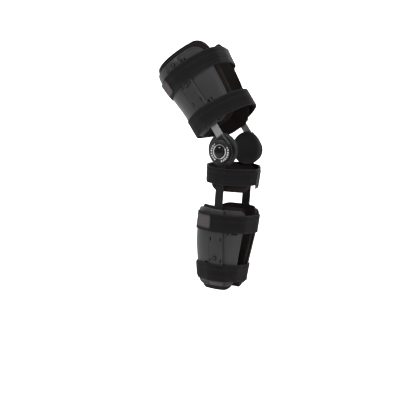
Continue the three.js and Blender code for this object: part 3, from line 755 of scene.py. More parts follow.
def brushed_metal(name, lean, dark, light, roughness, metallic):
    """Metal with fine scratches along its half, which leans in the row frame."""
    made, tree, shader = surface_material(name, Metallic=metallic)
    place = node(tree, "ShaderNodeTexCoord")
    run = node(
        tree,
        "ShaderNodeMapping",
        {"Vector": place.outputs["Object"], "Rotation": (-math.radians(lean), 0, 0)},
    )
    stretch = node(
        tree,
        "ShaderNodeMapping",
        {
            "Vector": run.outputs["Vector"],
            "Scale": (1 / SCRATCH_SIZE, 1 / SCRATCH_SIZE, 1 / SCRATCH_LENGTH),
        },
    )
    scratches = node(
        tree, "ShaderNodeTexNoise", {"Vector": stretch.outputs["Vector"], "Scale": 1.0, "Detail": 3.0}
    )
    smear = node(
        tree,
        "ShaderNodeTexNoise",
        {"Vector": place.outputs["Object"], "Scale": 1 / SMEAR_SIZE, "Detail": 2.0},
    )
    tone = node(
        tree,
        "ShaderNodeMix",
        {0: scratches.outputs["Fac"], 6: linear(dark), 7: linear(light)},
        data_type="RGBA",
    )
    tree.links.new(tone.outputs[2], shader.inputs["Base Color"])
    gloss = node(
        tree,
        "ShaderNodeMapRange",
        {"Value": smear.outputs["Fac"], "To Min": roughness - 0.06, "To Max": roughness + 0.1},
    )
    tree.links.new(gloss.outputs["Result"], shader.inputs["Roughness"])
    lines = node(
        tree,
        "ShaderNodeBump",
        {"Height": scratches.outputs["Fac"], "Strength": 0.2, "Distance": 0.0002},
    )
    tree.links.new(lines.outputs["Normal"], shader.inputs["Normal"])
    return made


# Brushed aluminium keeps a soft lengthwise streak of light; black anodising is dull and even.
leans = {half: form["lean"] for half, form in FORM.items()}
bar_finishes = {
    "thigh": brushed_metal("brushed_aluminium", leans["thigh"], "#929293", "#b8b7b7", 0.42, 1.0),
    "calf": brushed_metal("black_anodised_aluminium", leans["calf"], "#090b0c", "#131617", 0.5, 0.5),
}

for half in BARS:
    for side, sign in SIDES.items():
        points, faces = bar_wall(half, sign)
        bar = mesh_piece(f"{half}_bar_{side}_strip", placed(points, half), faces, smooth_angle=50)
        cut_away(bar, pin_hole_cutter(), smooth_angle=50)
        bar.data.materials.append(bar_finishes[half])
        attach(bar, half)
        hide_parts(f"{half}_bar_{side}")


# Rivets.
# Tubular rivets pressed through the channel into the bar: a rolled black rim round a stud of
# the shell's own plastic, standing a millimetre proud of the channel's top.
RIVET_HEIGHTS = {"thigh": [167, 222], "calf": [-240]}
RIVET_STAND = 1.0
RIVET_RADIUS = 3.8
RIVET_RIM_RADIUS = 1.6
RIVET_STUD_HEIGHT = 1.2


def geometry_tree(name, sizes, materials):
    """Empty Geometry Nodes tree with a geometry input, named sizes and named materials."""
    tree = bpy.data.node_groups.new(name, "GeometryNodeTree")
    tree.interface.new_socket("Geometry", in_out="INPUT", socket_type="NodeSocketGeometry")
    for size in sizes:
        tree.interface.new_socket(size, in_out="INPUT", socket_type="NodeSocketFloat")
    for material in materials:
        tree.interface.new_socket(material, in_out="INPUT", socket_type="NodeSocketMaterial")
    tree.interface.new_socket("Geometry", in_out="OUTPUT", socket_type="NodeSocketGeometry")
    return tree, tree.nodes.new("NodeGroupInput").outputs


def grown_piece(name, base, tree, values, smooth_angle):
    """Runs a Geometry Nodes tree on a base mesh and keeps the result as a plain mesh."""
    piece = new_object(name, base)
    modifier = piece.modifiers.new("grow", "NODES")
    modifier.node_group = tree
    for socket in tree.interface.items_tree:
        if socket.in_out == "INPUT" and socket.name in values:
            modifier[socket.identifier] = values[socket.name]
    grown = plain_mesh(piece)
    piece.modifiers.remove(modifier)
    piece.data = grown
    tidy_mesh(grown, smooth_angle)
    return piece


def spot_mesh(name, spots, mark, directions):
    """Mesh of bare points, each marked with a direction, for a tree to set its pieces on."""
    base = bpy.data.meshes.new(name)
    base.from_pydata([tuple(spot) for spot in spots], [], [])
    base.attributes.new(mark, "FLOAT_VECTOR", "POINT").data.foreach_set("vector", np.ravel(directions))
    return base


rivet_tree, sizes = geometry_tree(
    "rivets", ["Rivet Radius", "Rim Radius", "Stud Height"], ["Rim Material", "Stud Material"]
)
rim_path = node(
    rivet_tree, "GeometryNodeCurvePrimitiveCircle", {"Resolution": 40, "Radius": sizes["Rivet Radius"]}
)
rim_section = node(
    rivet_tree, "GeometryNodeCurvePrimitiveCircle", {"Resolution": 12, "Radius": sizes["Rim Radius"]}
)
rim = node(
    rivet_tree,
    "GeometryNodeCurveToMesh",
    {"Curve": rim_path.outputs["Curve"], "Profile Curve": rim_section.outputs["Curve"]},
)
rim_painted = node(
    rivet_tree,
    "GeometryNodeSetMaterial",
    {"Geometry": rim.outputs["Mesh"], "Material": sizes["Rim Material"]},
)
stud = node(
    rivet_tree,
    "GeometryNodeMeshCylinder",
    {"Vertices": 40, "Radius": sizes["Rivet Radius"], "Depth": sizes["Stud Height"]},
)
stud_painted = node(
    rivet_tree,
    "GeometryNodeSetMaterial",
    {"Geometry": stud.outputs["Mesh"], "Material": sizes["Stud Material"]},
)
rivet = node(rivet_tree, "GeometryNodeJoinGeometry", {"Geometry": rim_painted.outputs["Geometry"]})
rivet_tree.links.new(stud_painted.outputs["Geometry"], rivet.inputs["Geometry"])
out_of_shell = node(
    rivet_tree, "GeometryNodeInputNamedAttribute", {"Name": "out"}, data_type="FLOAT_VECTOR"
)
stand = node(
    rivet_tree,
    "FunctionNodeAlignRotationToVector",
    {"Vector": out_of_shell.outputs["Attribute"]},
    axis="Z",
)
set_in = node(
    rivet_tree,
    "GeometryNodeInstanceOnPoints",
    {
        "Points": sizes["Geometry"],
        "Instance": rivet.outputs["Geometry"],
        "Rotation": stand.outputs["Rotation"],
    },
)
real = node(rivet_tree, "GeometryNodeRealizeInstances", {"Geometry": set_in.outputs["Instances"]})
node(rivet_tree, "NodeGroupOutput", {"Geometry": real.outputs["Geometry"]})

# Black nylon, moulded smooth: a little glossier than the shell, with faint mould flow every
# 11 mm, a 0.7 mm grain, drawn coarser than it is, and a grey painted highlight along an edge.
NYLON_FLOW_SIZE = 0.011
NYLON_GRAIN_SIZE = 0.0007
black_nylon, tree, shader = surface_material("moulded_black_nylon", IOR=1.42)
place = node(tree, "ShaderNodeTexCoord")
flow = node(
    tree,
    "ShaderNodeTexNoise",
    {"Vector": place.outputs["Object"], "Scale": 1 / NYLON_FLOW_SIZE, "Detail": 4.0},
)
tone = node(
    tree,
    "ShaderNodeMix",
    {0: flow.outputs["Fac"], 6: linear("#040405"), 7: linear("#0b0b0c")},
    data_type="RGBA",
)
# Painted highlight: a pale grey line along the raised edge of the cover's neck.
wear_and_painted_highlight = node(tree, "ShaderNodeAttribute", attribute_name="wear_and_painted_highlight")
rubbed_edge_and_painted_highlight = node(
    tree,
    "ShaderNodeMix",
    {0: wear_and_painted_highlight.outputs["Fac"], 6: tone.outputs[2], 7: linear("#4c4c4e")},
    data_type="RGBA",
)
tree.links.new(rubbed_edge_and_painted_highlight.outputs[2], shader.inputs["Base Color"])
gloss = node(
    tree,
    "ShaderNodeMapRange",
    {"Value": flow.outputs["Fac"], "From Min": 0.3, "From Max": 0.7, "To Min": 0.36, "To Max": 0.48},
)
tree.links.new(gloss.outputs["Result"], shader.inputs["Roughness"])
grain = node(
    tree,
    "ShaderNodeTexNoise",
    {"Vector": place.outputs["Object"], "Scale": 1 / NYLON_GRAIN_SIZE, "Detail": 2.0},
)
pebble = node(
    tree, "ShaderNodeBump", {"Height": grain.outputs["Fac"], "Strength": 0.15, "Distance": 0.0002}
)
tree.links.new(pebble.outputs["Normal"], shader.inputs["Normal"])

for half, heights in RIVET_HEIGHTS.items():
    spots, outs, replaced = [], [], []
    for side, sign in SIDES.items():
        for i, height in enumerate(heights):
            top = SHELL_INSIDE + SHELL_THICKNESS + channel_rise(half, 0.0, float(height))
            place, out, _, _ = shell_frame(half, sign, 0.0, float(height), top + RIVET_STAND)
            spots.append(placed(place, half))
            outs.append(placed(out, half) * 1000)
            replaced.append(f"{half}_rivet_{side}_{i + 1}")
    base = spot_mesh(f"{half}_rivet_spots", spots, "out", outs)
    values = {
        "Rivet Radius": RIVET_RADIUS / 1000,
        "Rim Radius": RIVET_RIM_RADIUS / 1000,
        "Stud Height": RIVET_STUD_HEIGHT / 1000,
        "Rim Material": bar_finishes["calf"],
        "Stud Material": shell_plastic,
    }
    rivets = grown_piece(f"{half}_rivet_heads", base, rivet_tree, values, smooth_angle=40)
    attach(rivets, half)
    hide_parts(*replaced)


# Hinge covers.
# Moulded nylon teardrops that close the hinge and grip the thigh bar's neck. A fine raised
# edge runs all round, and the pin holds the cover, the dial and both bars together.
COVER_INSIDE = 66.8
COVER_OUTSIDE = 70.6
COVER_RADIUS = 29.0
COVER_NECK_HALF = 9.5
COVER_NECK_REACH = 31.0
COVER_ROW_STEP = 1.4
COVER_COLUMNS = 49
COVER_RIM_BULGE = 0.5

# Raised edge, its outer corner rounded down to the rim, and the painted highlight line along it on the
# neck
EDGE_WIDTH = 2.6
EDGE_HEIGHT = 0.4
EDGE_SLOPE = 0.8
EDGE_ROUND = 1.2
EDGE_ROUND_DEPTH = 0.9
PAINTED_HIGHLIGHT_WIDTH = 2.4


def cover_wall(sign):
    """Points and faces of a teardrop cover with a raised edge, marked for a painted highlight on the
    neck's.
    """
    heights = plate_rows(COVER_RADIUS, COVER_NECK_REACH, 0, COVER_ROW_STEP)
    line = FORM["thigh"]["bar_line"]
    left, right = plate_edges(COVER_RADIUS, line, COVER_NECK_HALF, COVER_NECK_REACH, heights)
    share = (1 - np.cos(np.linspace(0, np.pi, COVER_COLUMNS))) / 2
    y = left[:, None] + (right - left)[:, None] * share
    z = np.broadcast_to(heights[:, None], y.shape)
    flat = np.stack([0 * y, y, z], -1)
    rim = rim_distance(flat)
    raised = EDGE_HEIGHT * smooth_step((EDGE_WIDTH - rim) / EDGE_SLOPE)
    edge = raised - EDGE_ROUND_DEPTH * smooth_step((EDGE_ROUND - rim) / EDGE_ROUND) ** 2
    inside = flat + [sign * COVER_INSIDE, 0, 0]
    outside = flat + np.stack([sign * (COVER_OUTSIDE + edge), 0 * y, 0 * y], -1)
    points, faces = wall(inside, outside, bulge=COVER_RIM_BULGE)
    # Mask of the painted highlight along the raised edge, on the neck only
    wear_and_painted_highlight = smooth_step((PAINTED_HIGHLIGHT_WIDTH - rim) / EDGE_SLOPE) * (z > 0)
    return points, faces, {"wear_and_painted_highlight": wall_marks(points, 0 * wear_and_painted_highlight, wear_and_painted_highlight, 0.0)}


for side, sign in SIDES.items():
    points, faces, marks = cover_wall(sign)
    plate_name = f"hinge_cover_{side}_plate"
    cover = mesh_piece(plate_name, placed(points, "thigh"), faces, smooth_angle=50, marks=marks)
    cut_away(cover, pin_hole_cutter(), smooth_angle=50)
    cover.data.materials.append(black_nylon)
    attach(cover, "thigh")
    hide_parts(f"hinge_cover_{side}")


# Stop dials.
# Moulded nylon discs that carry the stop settings: a flat ring round the cap, and a face that
# slopes away to a rounded rim. The circle, graduations and degrees are printed in white.
DIAL_RADIUS = 26.0
DIAL_BACK = 71.3
DIAL_FACE = 75.4
CAP_SEAT = 74.4
DIAL_SLOPE = math.radians(14)
DIAL_SLOPE_START = 18.0
DIAL_SLOPE_END = 24.8
dial_rim = DIAL_FACE - (DIAL_SLOPE_END - DIAL_SLOPE_START) * math.tan(DIAL_SLOPE)
DIAL_PROFILE = [
    (PIN_HOLE_RADIUS, DIAL_BACK), (25.0, DIAL_BACK), (25.7, 71.6), (DIAL_RADIUS, 72.2),
    (DIAL_RADIUS, 72.8), (25.7, dial_rim - 0.3), (DIAL_SLOPE_END, dial_rim),
    (DIAL_SLOPE_START, DIAL_FACE), (13.2, DIAL_FACE), (12.7, 75.1), (12.4, CAP_SEAT),
    (PIN_HOLE_RADIUS, CAP_SEAT), (PIN_HOLE_RADIUS, DIAL_BACK),
]


def turned_piece(name, profile, sign, half, back=0.0, height=0.0, segments=96):
    """Piece turned along X from a profile of radius and distance from the mid plane."""
    radius, distance = np.array(profile, float).T
    turn = np.linspace(0, 2 * np.pi, segments, endpoint=False)
    y = radius[:, None] * np.cos(turn) + back
    z = radius[:, None] * np.sin(turn) + height
    x = np.broadcast_to(sign * distance[:, None], y.shape)
    grid = np.arange(y.size).reshape(y.shape)
    faces = ring_band(grid[:-1], grid[1:])
    return mesh_piece(name, placed(np.stack([x, y, z], -1), half), faces, smooth_angle=30)


# White screen ink: matt, and thin in 1 mm patches where the black shows through.
INK_PATCH = 0.0011
ink, tree, shader = surface_material("white_screen_ink", Roughness=0.6, IOR=1.5)
place = node(tree, "ShaderNodeTexCoord")
thin = node(
    tree,
    "ShaderNodeTexNoise",
    {"Vector": place.outputs["Object"], "Scale": 1 / INK_PATCH, "Detail": 2.0},
)
tone = node(
    tree,
    "ShaderNodeMix",
    {0: thin.outputs["Fac"], 6: linear("#dadadc"), 7: linear("#ffffff")},
    data_type="RGBA",
)
tree.links.new(tone.outputs[2], shader.inputs["Base Color"])

# Printing: a thin circle, fine graduations across it along two arcs, one for each direction of
# motion, and the stop angles on the slope, read outwards on the front arc and inwards behind
INK_THICKNESS = 0.12
CIRCLE = (15.3, 15.8)
TICK_RADIUS = 15.5
TICK_STEP = 3.5
TICK_WIDTH = 0.6
TICK_LENGTH = 2.4
NUMBER_RADIUS = 21.3
NUMBER_SIZE = 4.4
NUMBER_BOLD = 0.13
NUMBERS = ["0", "10", "20", "30", "45", "60", "75", "90"]
MARK_ARCS = [dict(start=130, stop=235, reads=-1), dict(start=25, stop=-77, reads=1)]

mark_tree, sizes = geometry_tree("dial_marks", ["Mark Width", "Mark Length", "Ink"], ["Ink Material"])
bar_size = node(
    mark_tree,
    "ShaderNodeCombineXYZ",
    {"X": sizes["Ink"], "Y": sizes["Mark Width"], "Z": sizes["Mark Length"]},
)
mark = node(mark_tree, "GeometryNodeMeshCube", {"Size": bar_size.outputs["Vector"]})
outward = node(
    mark_tree, "GeometryNodeInputNamedAttribute", {"Name": "outward"}, data_type="FLOAT_VECTOR"
)
stand = node(
    mark_tree,
    "FunctionNodeAlignRotationToVector",
    {"Vector": outward.outputs["Attribute"]},
    axis="Z",
    pivot_axis="X",
)
printed = node(
    mark_tree,
    "GeometryNodeInstanceOnPoints",
    {
        "Points": sizes["Geometry"],
        "Instance": mark.outputs["Mesh"],
        "Rotation": stand.outputs["Rotation"],
    },
)
real = node(mark_tree, "GeometryNodeRealizeInstances", {"Geometry": printed.outputs["Instances"]})
inked = node(
    mark_tree,
    "GeometryNodeSetMaterial",
    {"Geometry": real.outputs["Geometry"], "Material": sizes["Ink Material"]},
)
node(mark_tree, "NodeGroupOutput", {"Geometry": inked.outputs["Geometry"]})


def dial_directions(sign, degrees):
    """Directions at an angle on a dial seen from outside: from the axis, round it, to the eye."""
    turn = math.radians(degrees)
    outward = np.array([0, sign * math.cos(turn), math.sin(turn)])
    around = np.array([0, -sign * math.sin(turn), math.cos(turn)])
    return outward, around, np.array([sign, 0, 0])


def number_mesh(text):
    """Flat points and faces of a printed number, centred, in millimetres."""
    font = bpy.data.curves.new("number", "FONT")
    font.body = text
    font.size = NUMBER_SIZE
    font.align_x = "CENTER"
    font.align_y = "CENTER"
    font.offset = NUMBER_BOLD
    font.resolution_u = 3
    font.extrude = INK_THICKNESS / 2
    letters = new_object("number", font)
    flat = plain_mesh(letters)
    points = np.array([v.co for v in flat.vertices])
    faces = [list(p.vertices) for p in flat.polygons]
    bpy.data.objects.remove(letters)
    bpy.data.meshes.remove(flat)
    return points, faces


def dial_numbers(name, sign):
    """One mesh of all the numbers of a dial, laid along the radius on its sloping face."""
    points, faces, count = [], [], 0
    for arc in MARK_ARCS:
        for degrees, number in zip(np.linspace(arc["start"], arc["stop"], len(NUMBERS)), NUMBERS):
            outward, around, eye = dial_directions(sign, degrees)
            down_slope = math.cos(DIAL_SLOPE) * outward - math.sin(DIAL_SLOPE) * eye
            off_slope = math.cos(DIAL_SLOPE) * eye + math.sin(DIAL_SLOPE) * outward
            sunk = (NUMBER_RADIUS - DIAL_SLOPE_START) * math.tan(DIAL_SLOPE)
            spot = NUMBER_RADIUS * outward + (DIAL_FACE - sunk) * eye
            flat, number_faces = number_mesh(number)
            reading, up, out = (flat[:, k : k + 1] for k in range(3))
            points.append(spot + arc["reads"] * (reading * down_slope + up * around) + out * off_slope)
            faces += [[v + count for v in face] for face in number_faces]
            count += len(flat)
    return mesh_piece(name, np.concatenate(points) / 1000, faces, smooth_angle=30)


def dial_ticks(name, sign):
    """One mesh of the fine graduations of a dial."""
    spots, outs = [], []
    for arc in MARK_ARCS:
        count = round(abs(arc["stop"] - arc["start"]) / TICK_STEP)
        for degrees in np.linspace(arc["start"], arc["stop"], count + 1):
            outward, _, eye = dial_directions(sign, degrees)
            spots.append((TICK_RADIUS * outward + DIAL_FACE * eye) / 1000)
            outs.append(outward)
    values = {
        "Mark Width": TICK_WIDTH / 1000,
        "Mark Length": TICK_LENGTH / 1000,
        "Ink": INK_THICKNESS / 1000,
        "Ink Material": ink,
    }
    base = spot_mesh(name, spots, "outward", outs)
    return grown_piece(name, base, mark_tree, values, smooth_angle=30)


for side, sign in SIDES.items():
    dial = turned_piece(f"hinge_dial_{side}_disc", DIAL_PROFILE, sign, "thigh")
    dial.data.materials.append(black_nylon)
    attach(dial, "thigh")
    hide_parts(f"hinge_dial_{side}")

    low, high = DIAL_FACE - INK_THICKNESS / 2, DIAL_FACE + INK_THICKNESS / 2
    ring = [(CIRCLE[0], low), (CIRCLE[0], high), (CIRCLE[1], high), (CIRCLE[1], low), (CIRCLE[0], low)]
    circle = turned_piece(f"hinge_dial_{side}_circle", ring, sign, "thigh")
    numbers = dial_numbers(f"hinge_dial_{side}_degrees", sign)
    for printing in (circle, numbers):
        printing.data.materials.append(ink)
    for printing in (circle, numbers, dial_ticks(f"hinge_dial_{side}_ticks", sign)):
        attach(printing, "thigh")


# Hinge pins.
# Steel rivets through the whole stack, each hidden under a domed cap of polished black ABS
# that is pressed on over its head.
PIN_RADIUS = 4.0
PIN_START = 60.0
CAP_RADIUS = 11.5
CAP_BASE = 75.2
CAP_RIM = 77.0
CAP_TOP = 80.2

dome = [
    (CAP_RADIUS * math.cos(turn), CAP_RIM + (CAP_TOP - CAP_RIM) * math.sin(turn))
    for turn in np.linspace(0, math.pi / 2, 14)[:-1]
]
shank = [(0, PIN_START), (PIN_RADIUS, PIN_START), (PIN_RADIUS, CAP_BASE)]
rounded_foot = [(CAP_RADIUS - inset, CAP_BASE + up) for inset, up in ((0.9, 0), (0.3, 0.3), (0, 0.9))]
pin_profile = shank + rounded_foot + dome + [(0, CAP_TOP)]

# Polished ABS: near black and glossy, with a soft orange-peel from the mould, 3.1 mm across.
PEEL_SIZE = 0.0031
polished_abs, tree, shader = surface_material("polished_black_abs", IOR=1.42)
place = node(tree, "ShaderNodeTexCoord")
peel = node(
    tree,
    "ShaderNodeTexNoise",
    {"Vector": place.outputs["Object"], "Scale": 1 / PEEL_SIZE, "Detail": 2.0},
)
tone = node(
    tree,
    "ShaderNodeMix",
    {0: peel.outputs["Fac"], 6: linear("#030303"), 7: linear("#070708")},
    data_type="RGBA",
)
tree.links.new(tone.outputs[2], shader.inputs["Base Color"])
gloss = node(
    tree, "ShaderNodeMapRange", {"Value": peel.outputs["Fac"], "To Min": 0.1, "To Max": 0.2}
)
tree.links.new(gloss.outputs["Result"], shader.inputs["Roughness"])
dimple = node(
    tree, "ShaderNodeBump", {"Height": peel.outputs["Fac"], "Strength": 0.06, "Distance": 0.0002}
)
tree.links.new(dimple.outputs["Normal"], shader.inputs["Normal"])

for side, sign in SIDES.items():
    pin = turned_piece(f"hinge_pin_{side}_cap", pin_profile, sign, "thigh")
    pin.data.materials.append(polished_abs)
    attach(pin, "thigh")
    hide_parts(f"hinge_pin_{side}")


# Condyle pads.
# Thick round foam cushions in a smooth coated cover, stuck to the hinge's inside so that no
# metal lies bare there. The cover's two halves meet in a welded seam round the rim.
CONDYLE_BACK = 3.5
CONDYLE_HEIGHT = 3.0
CONDYLE_PROFILE = [
    (0, 48.1), (12, 48.0), (22, 48.1), (29, 48.6), (33, 49.8), (35.6, 51.4), (36.9, 53.0),
    (37.2, 53.7), (37.9, 53.9), (37.9, 54.5), (37.2, 54.7), (36.9, 55.4), (36.0, 57.2),
    (34.4, 58.5), (32, 59.2), (28, 59.4), (0, 59.4),
]

# Coated cover: soft black polyurethane skin with a dull gloss, a fine leathery crease, drawn at
# 2.2 mm to show, and clouds of wear 22 mm across.
CREASE_SIZE = 0.0022
CLOUD_SIZE = 0.022
coated_cover, tree, shader = surface_material("polyurethane_coated_cloth", IOR=1.5)
place = node(tree, "ShaderNodeTexCoord")
crease = node(
    tree,
    "ShaderNodeTexVoronoi",
    {"Vector": place.outputs["Object"], "Scale": 1 / CREASE_SIZE},
    feature="DISTANCE_TO_EDGE",
)
cloud = node(
    tree,
    "ShaderNodeTexNoise",
    {"Vector": place.outputs["Object"], "Scale": 1 / CLOUD_SIZE, "Detail": 3.0},
)
tone = node(
    tree,
    "ShaderNodeMix",
    {0: cloud.outputs["Fac"], 6: linear("#080809"), 7: linear("#131213")},
    data_type="RGBA",
)
tree.links.new(tone.outputs[2], shader.inputs["Base Color"])
dull = node(
    tree, "ShaderNodeMapRange", {"Value": cloud.outputs["Fac"], "To Min": 0.5, "To Max": 0.66}
)
tree.links.new(dull.outputs["Result"], shader.inputs["Roughness"])
folds = node(
    tree, "ShaderNodeBump", {"Height": crease.outputs["Distance"], "Strength": 0.3, "Distance": 0.0006}
)
tree.links.new(folds.outputs["Normal"], shader.inputs["Normal"])

for side, sign in SIDES.items():
    cushion_name = f"condyle_pad_{side}_cushion"
    cushion = turned_piece(cushion_name, CONDYLE_PROFILE, sign, "calf", CONDYLE_BACK, CONDYLE_HEIGHT)
    cushion.data.materials.append(coated_cover)
    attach(cushion, "calf")
    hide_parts(f"condyle_pad_{side}")


# Knee pads.
# Foam pads in the same loop cloth as the cuff pads, under the strap below the hinges. The strap
# presses them inwards, and they bulge past its lower edge.
KNEE_PAD_THICKNESS = 8.6
KNEE_PAD_OUTSIDE = 9.5
KNEE_PADS = {
    "knee_pad_lateral": dict(back=-32, front=74, low=-88, high=-37, low_corner=26, high_corner=12),
    "knee_pad_medial": dict(back=-50, front=28, low=-80, high=-37, low_corner=18, high_corner=12),
}

for seed, (name, outline) in enumerate(KNEE_PADS.items(), 20):
    side = name.split("_")[2]
    pad = foam_pad(name + "_foam", "calf", SIDES[side], outline, KNEE_PAD_THICKNESS, seed)
    swell_cover(pad, pressure=3.0, cap=0.0004)
    pad.data.materials.append(loop_cloth)
    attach(pad, "calf")
    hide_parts(name)


# Straps.
# Woven nylon with a dense loop pile outside and foam backing, pulled tight round each cuff and
# below the hinges. Two welded lines hold the layers together, and the woven edges are stiffer.
STRAP_GAP = 0.7
STRAP_THICKNESS = 3.1
STRAP_EDGE = 1.3
STRAP_COUNT = 400
STRAP_FACE_ROWS = 25
STRAP_LEVELS = 7
WELD_PLACES = (0.3, 0.7)
WELD_WIDTH = 1.3
WELD_DEPTH = 0.4

# Stiff bead along each edge: distance from the edge, width and height; and the width and blur of
# the woven border that shows there
BEAD_PLACE = 2.2
BEAD_WIDTH = 0.8
BEAD_HEIGHT = 0.25
BORDER_WIDTH = 1.8
BORDER_BLUR = 1.4

# Slack of the cloth: how deep and wide its face swells and its edges waver, and how far its face
# is pressed in
FACE_SWELL = (0.16, 30)
EDGE_WAVER = (0.3, 55)
FACE_PRESS = 0.12

# Edges at the middle of the half, the climb of the loop towards the back and inner side, and how
# far the bend of the brace pushes out its low and high edges in front
STRAPS = {
    "thigh_strap_upper": dict(half="thigh", low=174, high=215, back=0, inward=0, push=(0, 0)),
    "thigh_strap_lower": dict(half="thigh", low=66, high=108, back=0.055, inward=0, push=(19, 9)),
    "knee_strap": dict(half="calf", low=-71, high=-34, back=0, inward=0.06, push=(0, 0)),
    "calf_strap_upper": dict(half="calf", low=-181, high=-140, back=0, inward=0, push=(0, 0)),
    "calf_strap_lower": dict(half="calf", low=-293, high=-254, back=0, inward=0, push=(0, 0)),
}


def edges_at(half, outline, height):
    """Angles of the back and front edges of an outline at one height, or None off its ends."""
    low, high = outline["low_corner"], outline["high_corner"]
    under = np.clip(outline["low"] + low - height, 0, None)
    over = np.clip(height - outline["high"] + high, 0, None)
    if under > low or over > high:
        return None
    drawn = low - math.sqrt(low**2 - under**2) + high - math.sqrt(high**2 - over**2)
    return row_edges(half, outline, height, drawn)


def under_strap(name, strap, height):
    """Places across the half at a height, under all that a strap is drawn tight over."""
    half = strap["half"]
    levels = np.linspace(strap["low"], strap["high"], STRAP_LEVELS)
    pushed = np.interp(height, [strap["low"], strap["high"]], strap["push"])
    bare = np.radians(np.linspace(-90, 90, 61))
    bare_off = FORM_GAP + pushed * np.maximum(np.sin(bare), 0) ** 2
    places = []
    for side, sign in SIDES.items():
        places.append(form_point(half, sign, bare, height, bare_off))
        if name == "knee_strap":
            layers = [(KNEE_PADS[f"knee_pad_{side}"], KNEE_PAD_OUTSIDE)]
            bar = BARS["calf"]
            outer = sign * (bar["hinge"] + BAR_THICKNESS)
            places.append(np.array([[outer, y * bar["half"], height] for y in (-1, 1)]))
        else:
            pad = CUFF_PADS[f"{half}_pad_{side}"]
            top = SHELL_INSIDE + SHELL_THICKNESS
            layers = [(pad, PAD_OUTSIDE), (shell_outline(half, pad), top)]
            across = np.linspace(-CHANNEL_TOP_HALF, CHANNEL_TOP_HALF, 7)
            for level in levels:
                off = top + channel_rise(half, 0.0, level)
                places.append(form_point(half, sign, shell_angle(half, across, level), height, off))
        for outline, off in layers:
            for level in levels:
                edges = edges_at(half, outline, level)
                if edges:
                    places.append(form_point(half, sign, np.linspace(*edges, 40), height, off))
    return np.concatenate(places)[:, :2]


def soften(values, size):
    """Values round a loop, blurred over a number of steps."""
    reach = np.arange(-3 * size, 3 * size + 1)
    weight = np.exp(-((reach / size) ** 2) / 2)
    return sum(w * np.roll(values, int(r), -2) for r, w in zip(reach, weight)) / weight.sum()


def strap_rows(name, strap, shares):
    """Loop of a taut strap at shares of its width: places beneath it, and directions out of it."""
    turn = np.linspace(0, 2 * np.pi, 720, endpoint=False)
    out = -np.stack([np.cos(turn), np.sin(turn)])
    low, high = ((under_strap(name, strap, strap[end]) @ out).max(0) for end in ("low", "high"))
    step = turn[1]
    places, outs = [], []
    for share in shares:
        h = low + (high - low) * share
        slide = (np.roll(h, -1) - h * math.cos(step)) / math.sin(step)
        corner = h * out + slide * np.stack([np.sin(turn), -np.cos(turn)])
        facing = -np.stack([np.cos(turn + step / 2), np.sin(turn + step / 2)])
        middle = corner + (STRAP_GAP + STRAP_THICKNESS / 2) * facing
        length = np.linalg.norm(np.diff(middle, axis=1, append=middle[:, :1]), axis=0)
        run = np.concatenate([[0], np.cumsum(length)])
        at = np.linspace(0, run[-1], STRAP_COUNT, endpoint=False)
        closed = np.concatenate([corner, corner[:, :1]], 1), np.concatenate([facing, facing[:, :1]], 1)
        places.append(np.stack([np.interp(at, run, row) for row in closed[0]], -1))
        outs.append(np.stack([np.interp(at, run, row) for row in closed[1]], -1))
    places, outs = soften(np.array(places), 5), soften(np.array(outs), 6)
    return places, outs / np.linalg.norm(outs, axis=-1, keepdims=True)


def strap_points(strap, places, outs, off, heights):
    """Points of a strap's half, off the places beneath it, on the climbing loop."""
    x, y = np.moveaxis(places + outs * np.asarray(off)[..., None], -1, 0)
    return np.stack([x, y, heights + strap["back"] * y + strap["inward"] * x], -1)


def strap_loop(name, strap, seed):
    """Whole strap: a flat loop with round, slightly wavy edges and pressed weld lines."""
    width = strap["high"] - strap["low"]
    face = np.linspace(STRAP_EDGE / width, 1 - STRAP_EDGE / width, STRAP_FACE_ROWS)
    round_edge = np.linspace(-np.pi / 2, np.pi / 2, 7)[1:-1]
    edge_out, edge_up = STRAP_EDGE * np.cos(round_edge), STRAP_THICKNESS / 2 * np.sin(round_edge)
    relief = BEAD_HEIGHT * ridge(np.minimum(face, 1 - face) * width - BEAD_PLACE, BEAD_WIDTH)
    for weld in WELD_PLACES:
        relief -= WELD_DEPTH * ridge((face - weld) * width, WELD_WIDTH)
    top = STRAP_GAP + STRAP_THICKNESS
    middle = STRAP_GAP + STRAP_THICKNESS / 2
    level = 0 * edge_out
    shares = np.concatenate([face, face[-1] + level, face[::-1], face[0] + level])
    past = np.concatenate([0 * face, edge_out, 0 * face, -edge_out])
    off = np.concatenate(
        [STRAP_GAP + 0 * face, middle + edge_up, top + relief - FACE_PRESS, middle - edge_up]
    )
    rows, outs = strap_rows(name, strap, face)
    order = np.round((shares - face[0]) / (face[1] - face[0])).astype(int)
    places, outs = rows[order], outs[order]
    heights = (strap["low"] + shares * width + past)[:, None] + np.zeros(STRAP_COUNT)
    points = strap_points(strap, places, outs, off[:, None] + 0 * heights, heights)
    outside = (off > middle)[:, None]
    swell = FACE_SWELL[0] * ripple(points, FACE_SWELL[1], seed) * outside
    waver = EDGE_WAVER[0] * ripple(points[:1], EDGE_WAVER[1], seed + 1)
    points = strap_points(strap, places, outs, off[:, None] + swell, heights + waver)
    grid = np.arange(points[..., 0].size).reshape(points.shape[:2])
    faces = ring_band(grid, np.roll(grid, -1, 0))
    across = (shares * width + past)[:, None] / 1000 + 0 * heights
    from_edge = np.minimum(shares, 1 - shares) * width - np.abs(past)
    edge = smooth_step((BORDER_WIDTH - from_edge) / BORDER_BLUR)
    marks = {"across": across, "edge": edge[:, None] * outside + 0 * heights}
    loop_points = placed(points, strap["half"])
    return mesh_piece(name + "_webbing", loop_points, faces, smooth_angle=60, marks=marks)


# Loop pile: soft and black with a violet-grey bloom at grazing angles, brushed lengthwise.
# Ribs of the weave are 0.6 mm, drawn at 1.4 mm so that they show, and change every 23.3 mm along
# the strap; the 0.3 mm pile is drawn at 0.9 mm. Bands 6 mm wide, where the pile was brushed more
# or less, run the whole length.
RIB_SIZE = 0.0014
RIB_LENGTH = 0.0233
PILE_SIZE = 0.0009
BAND_SIZE = 0.006


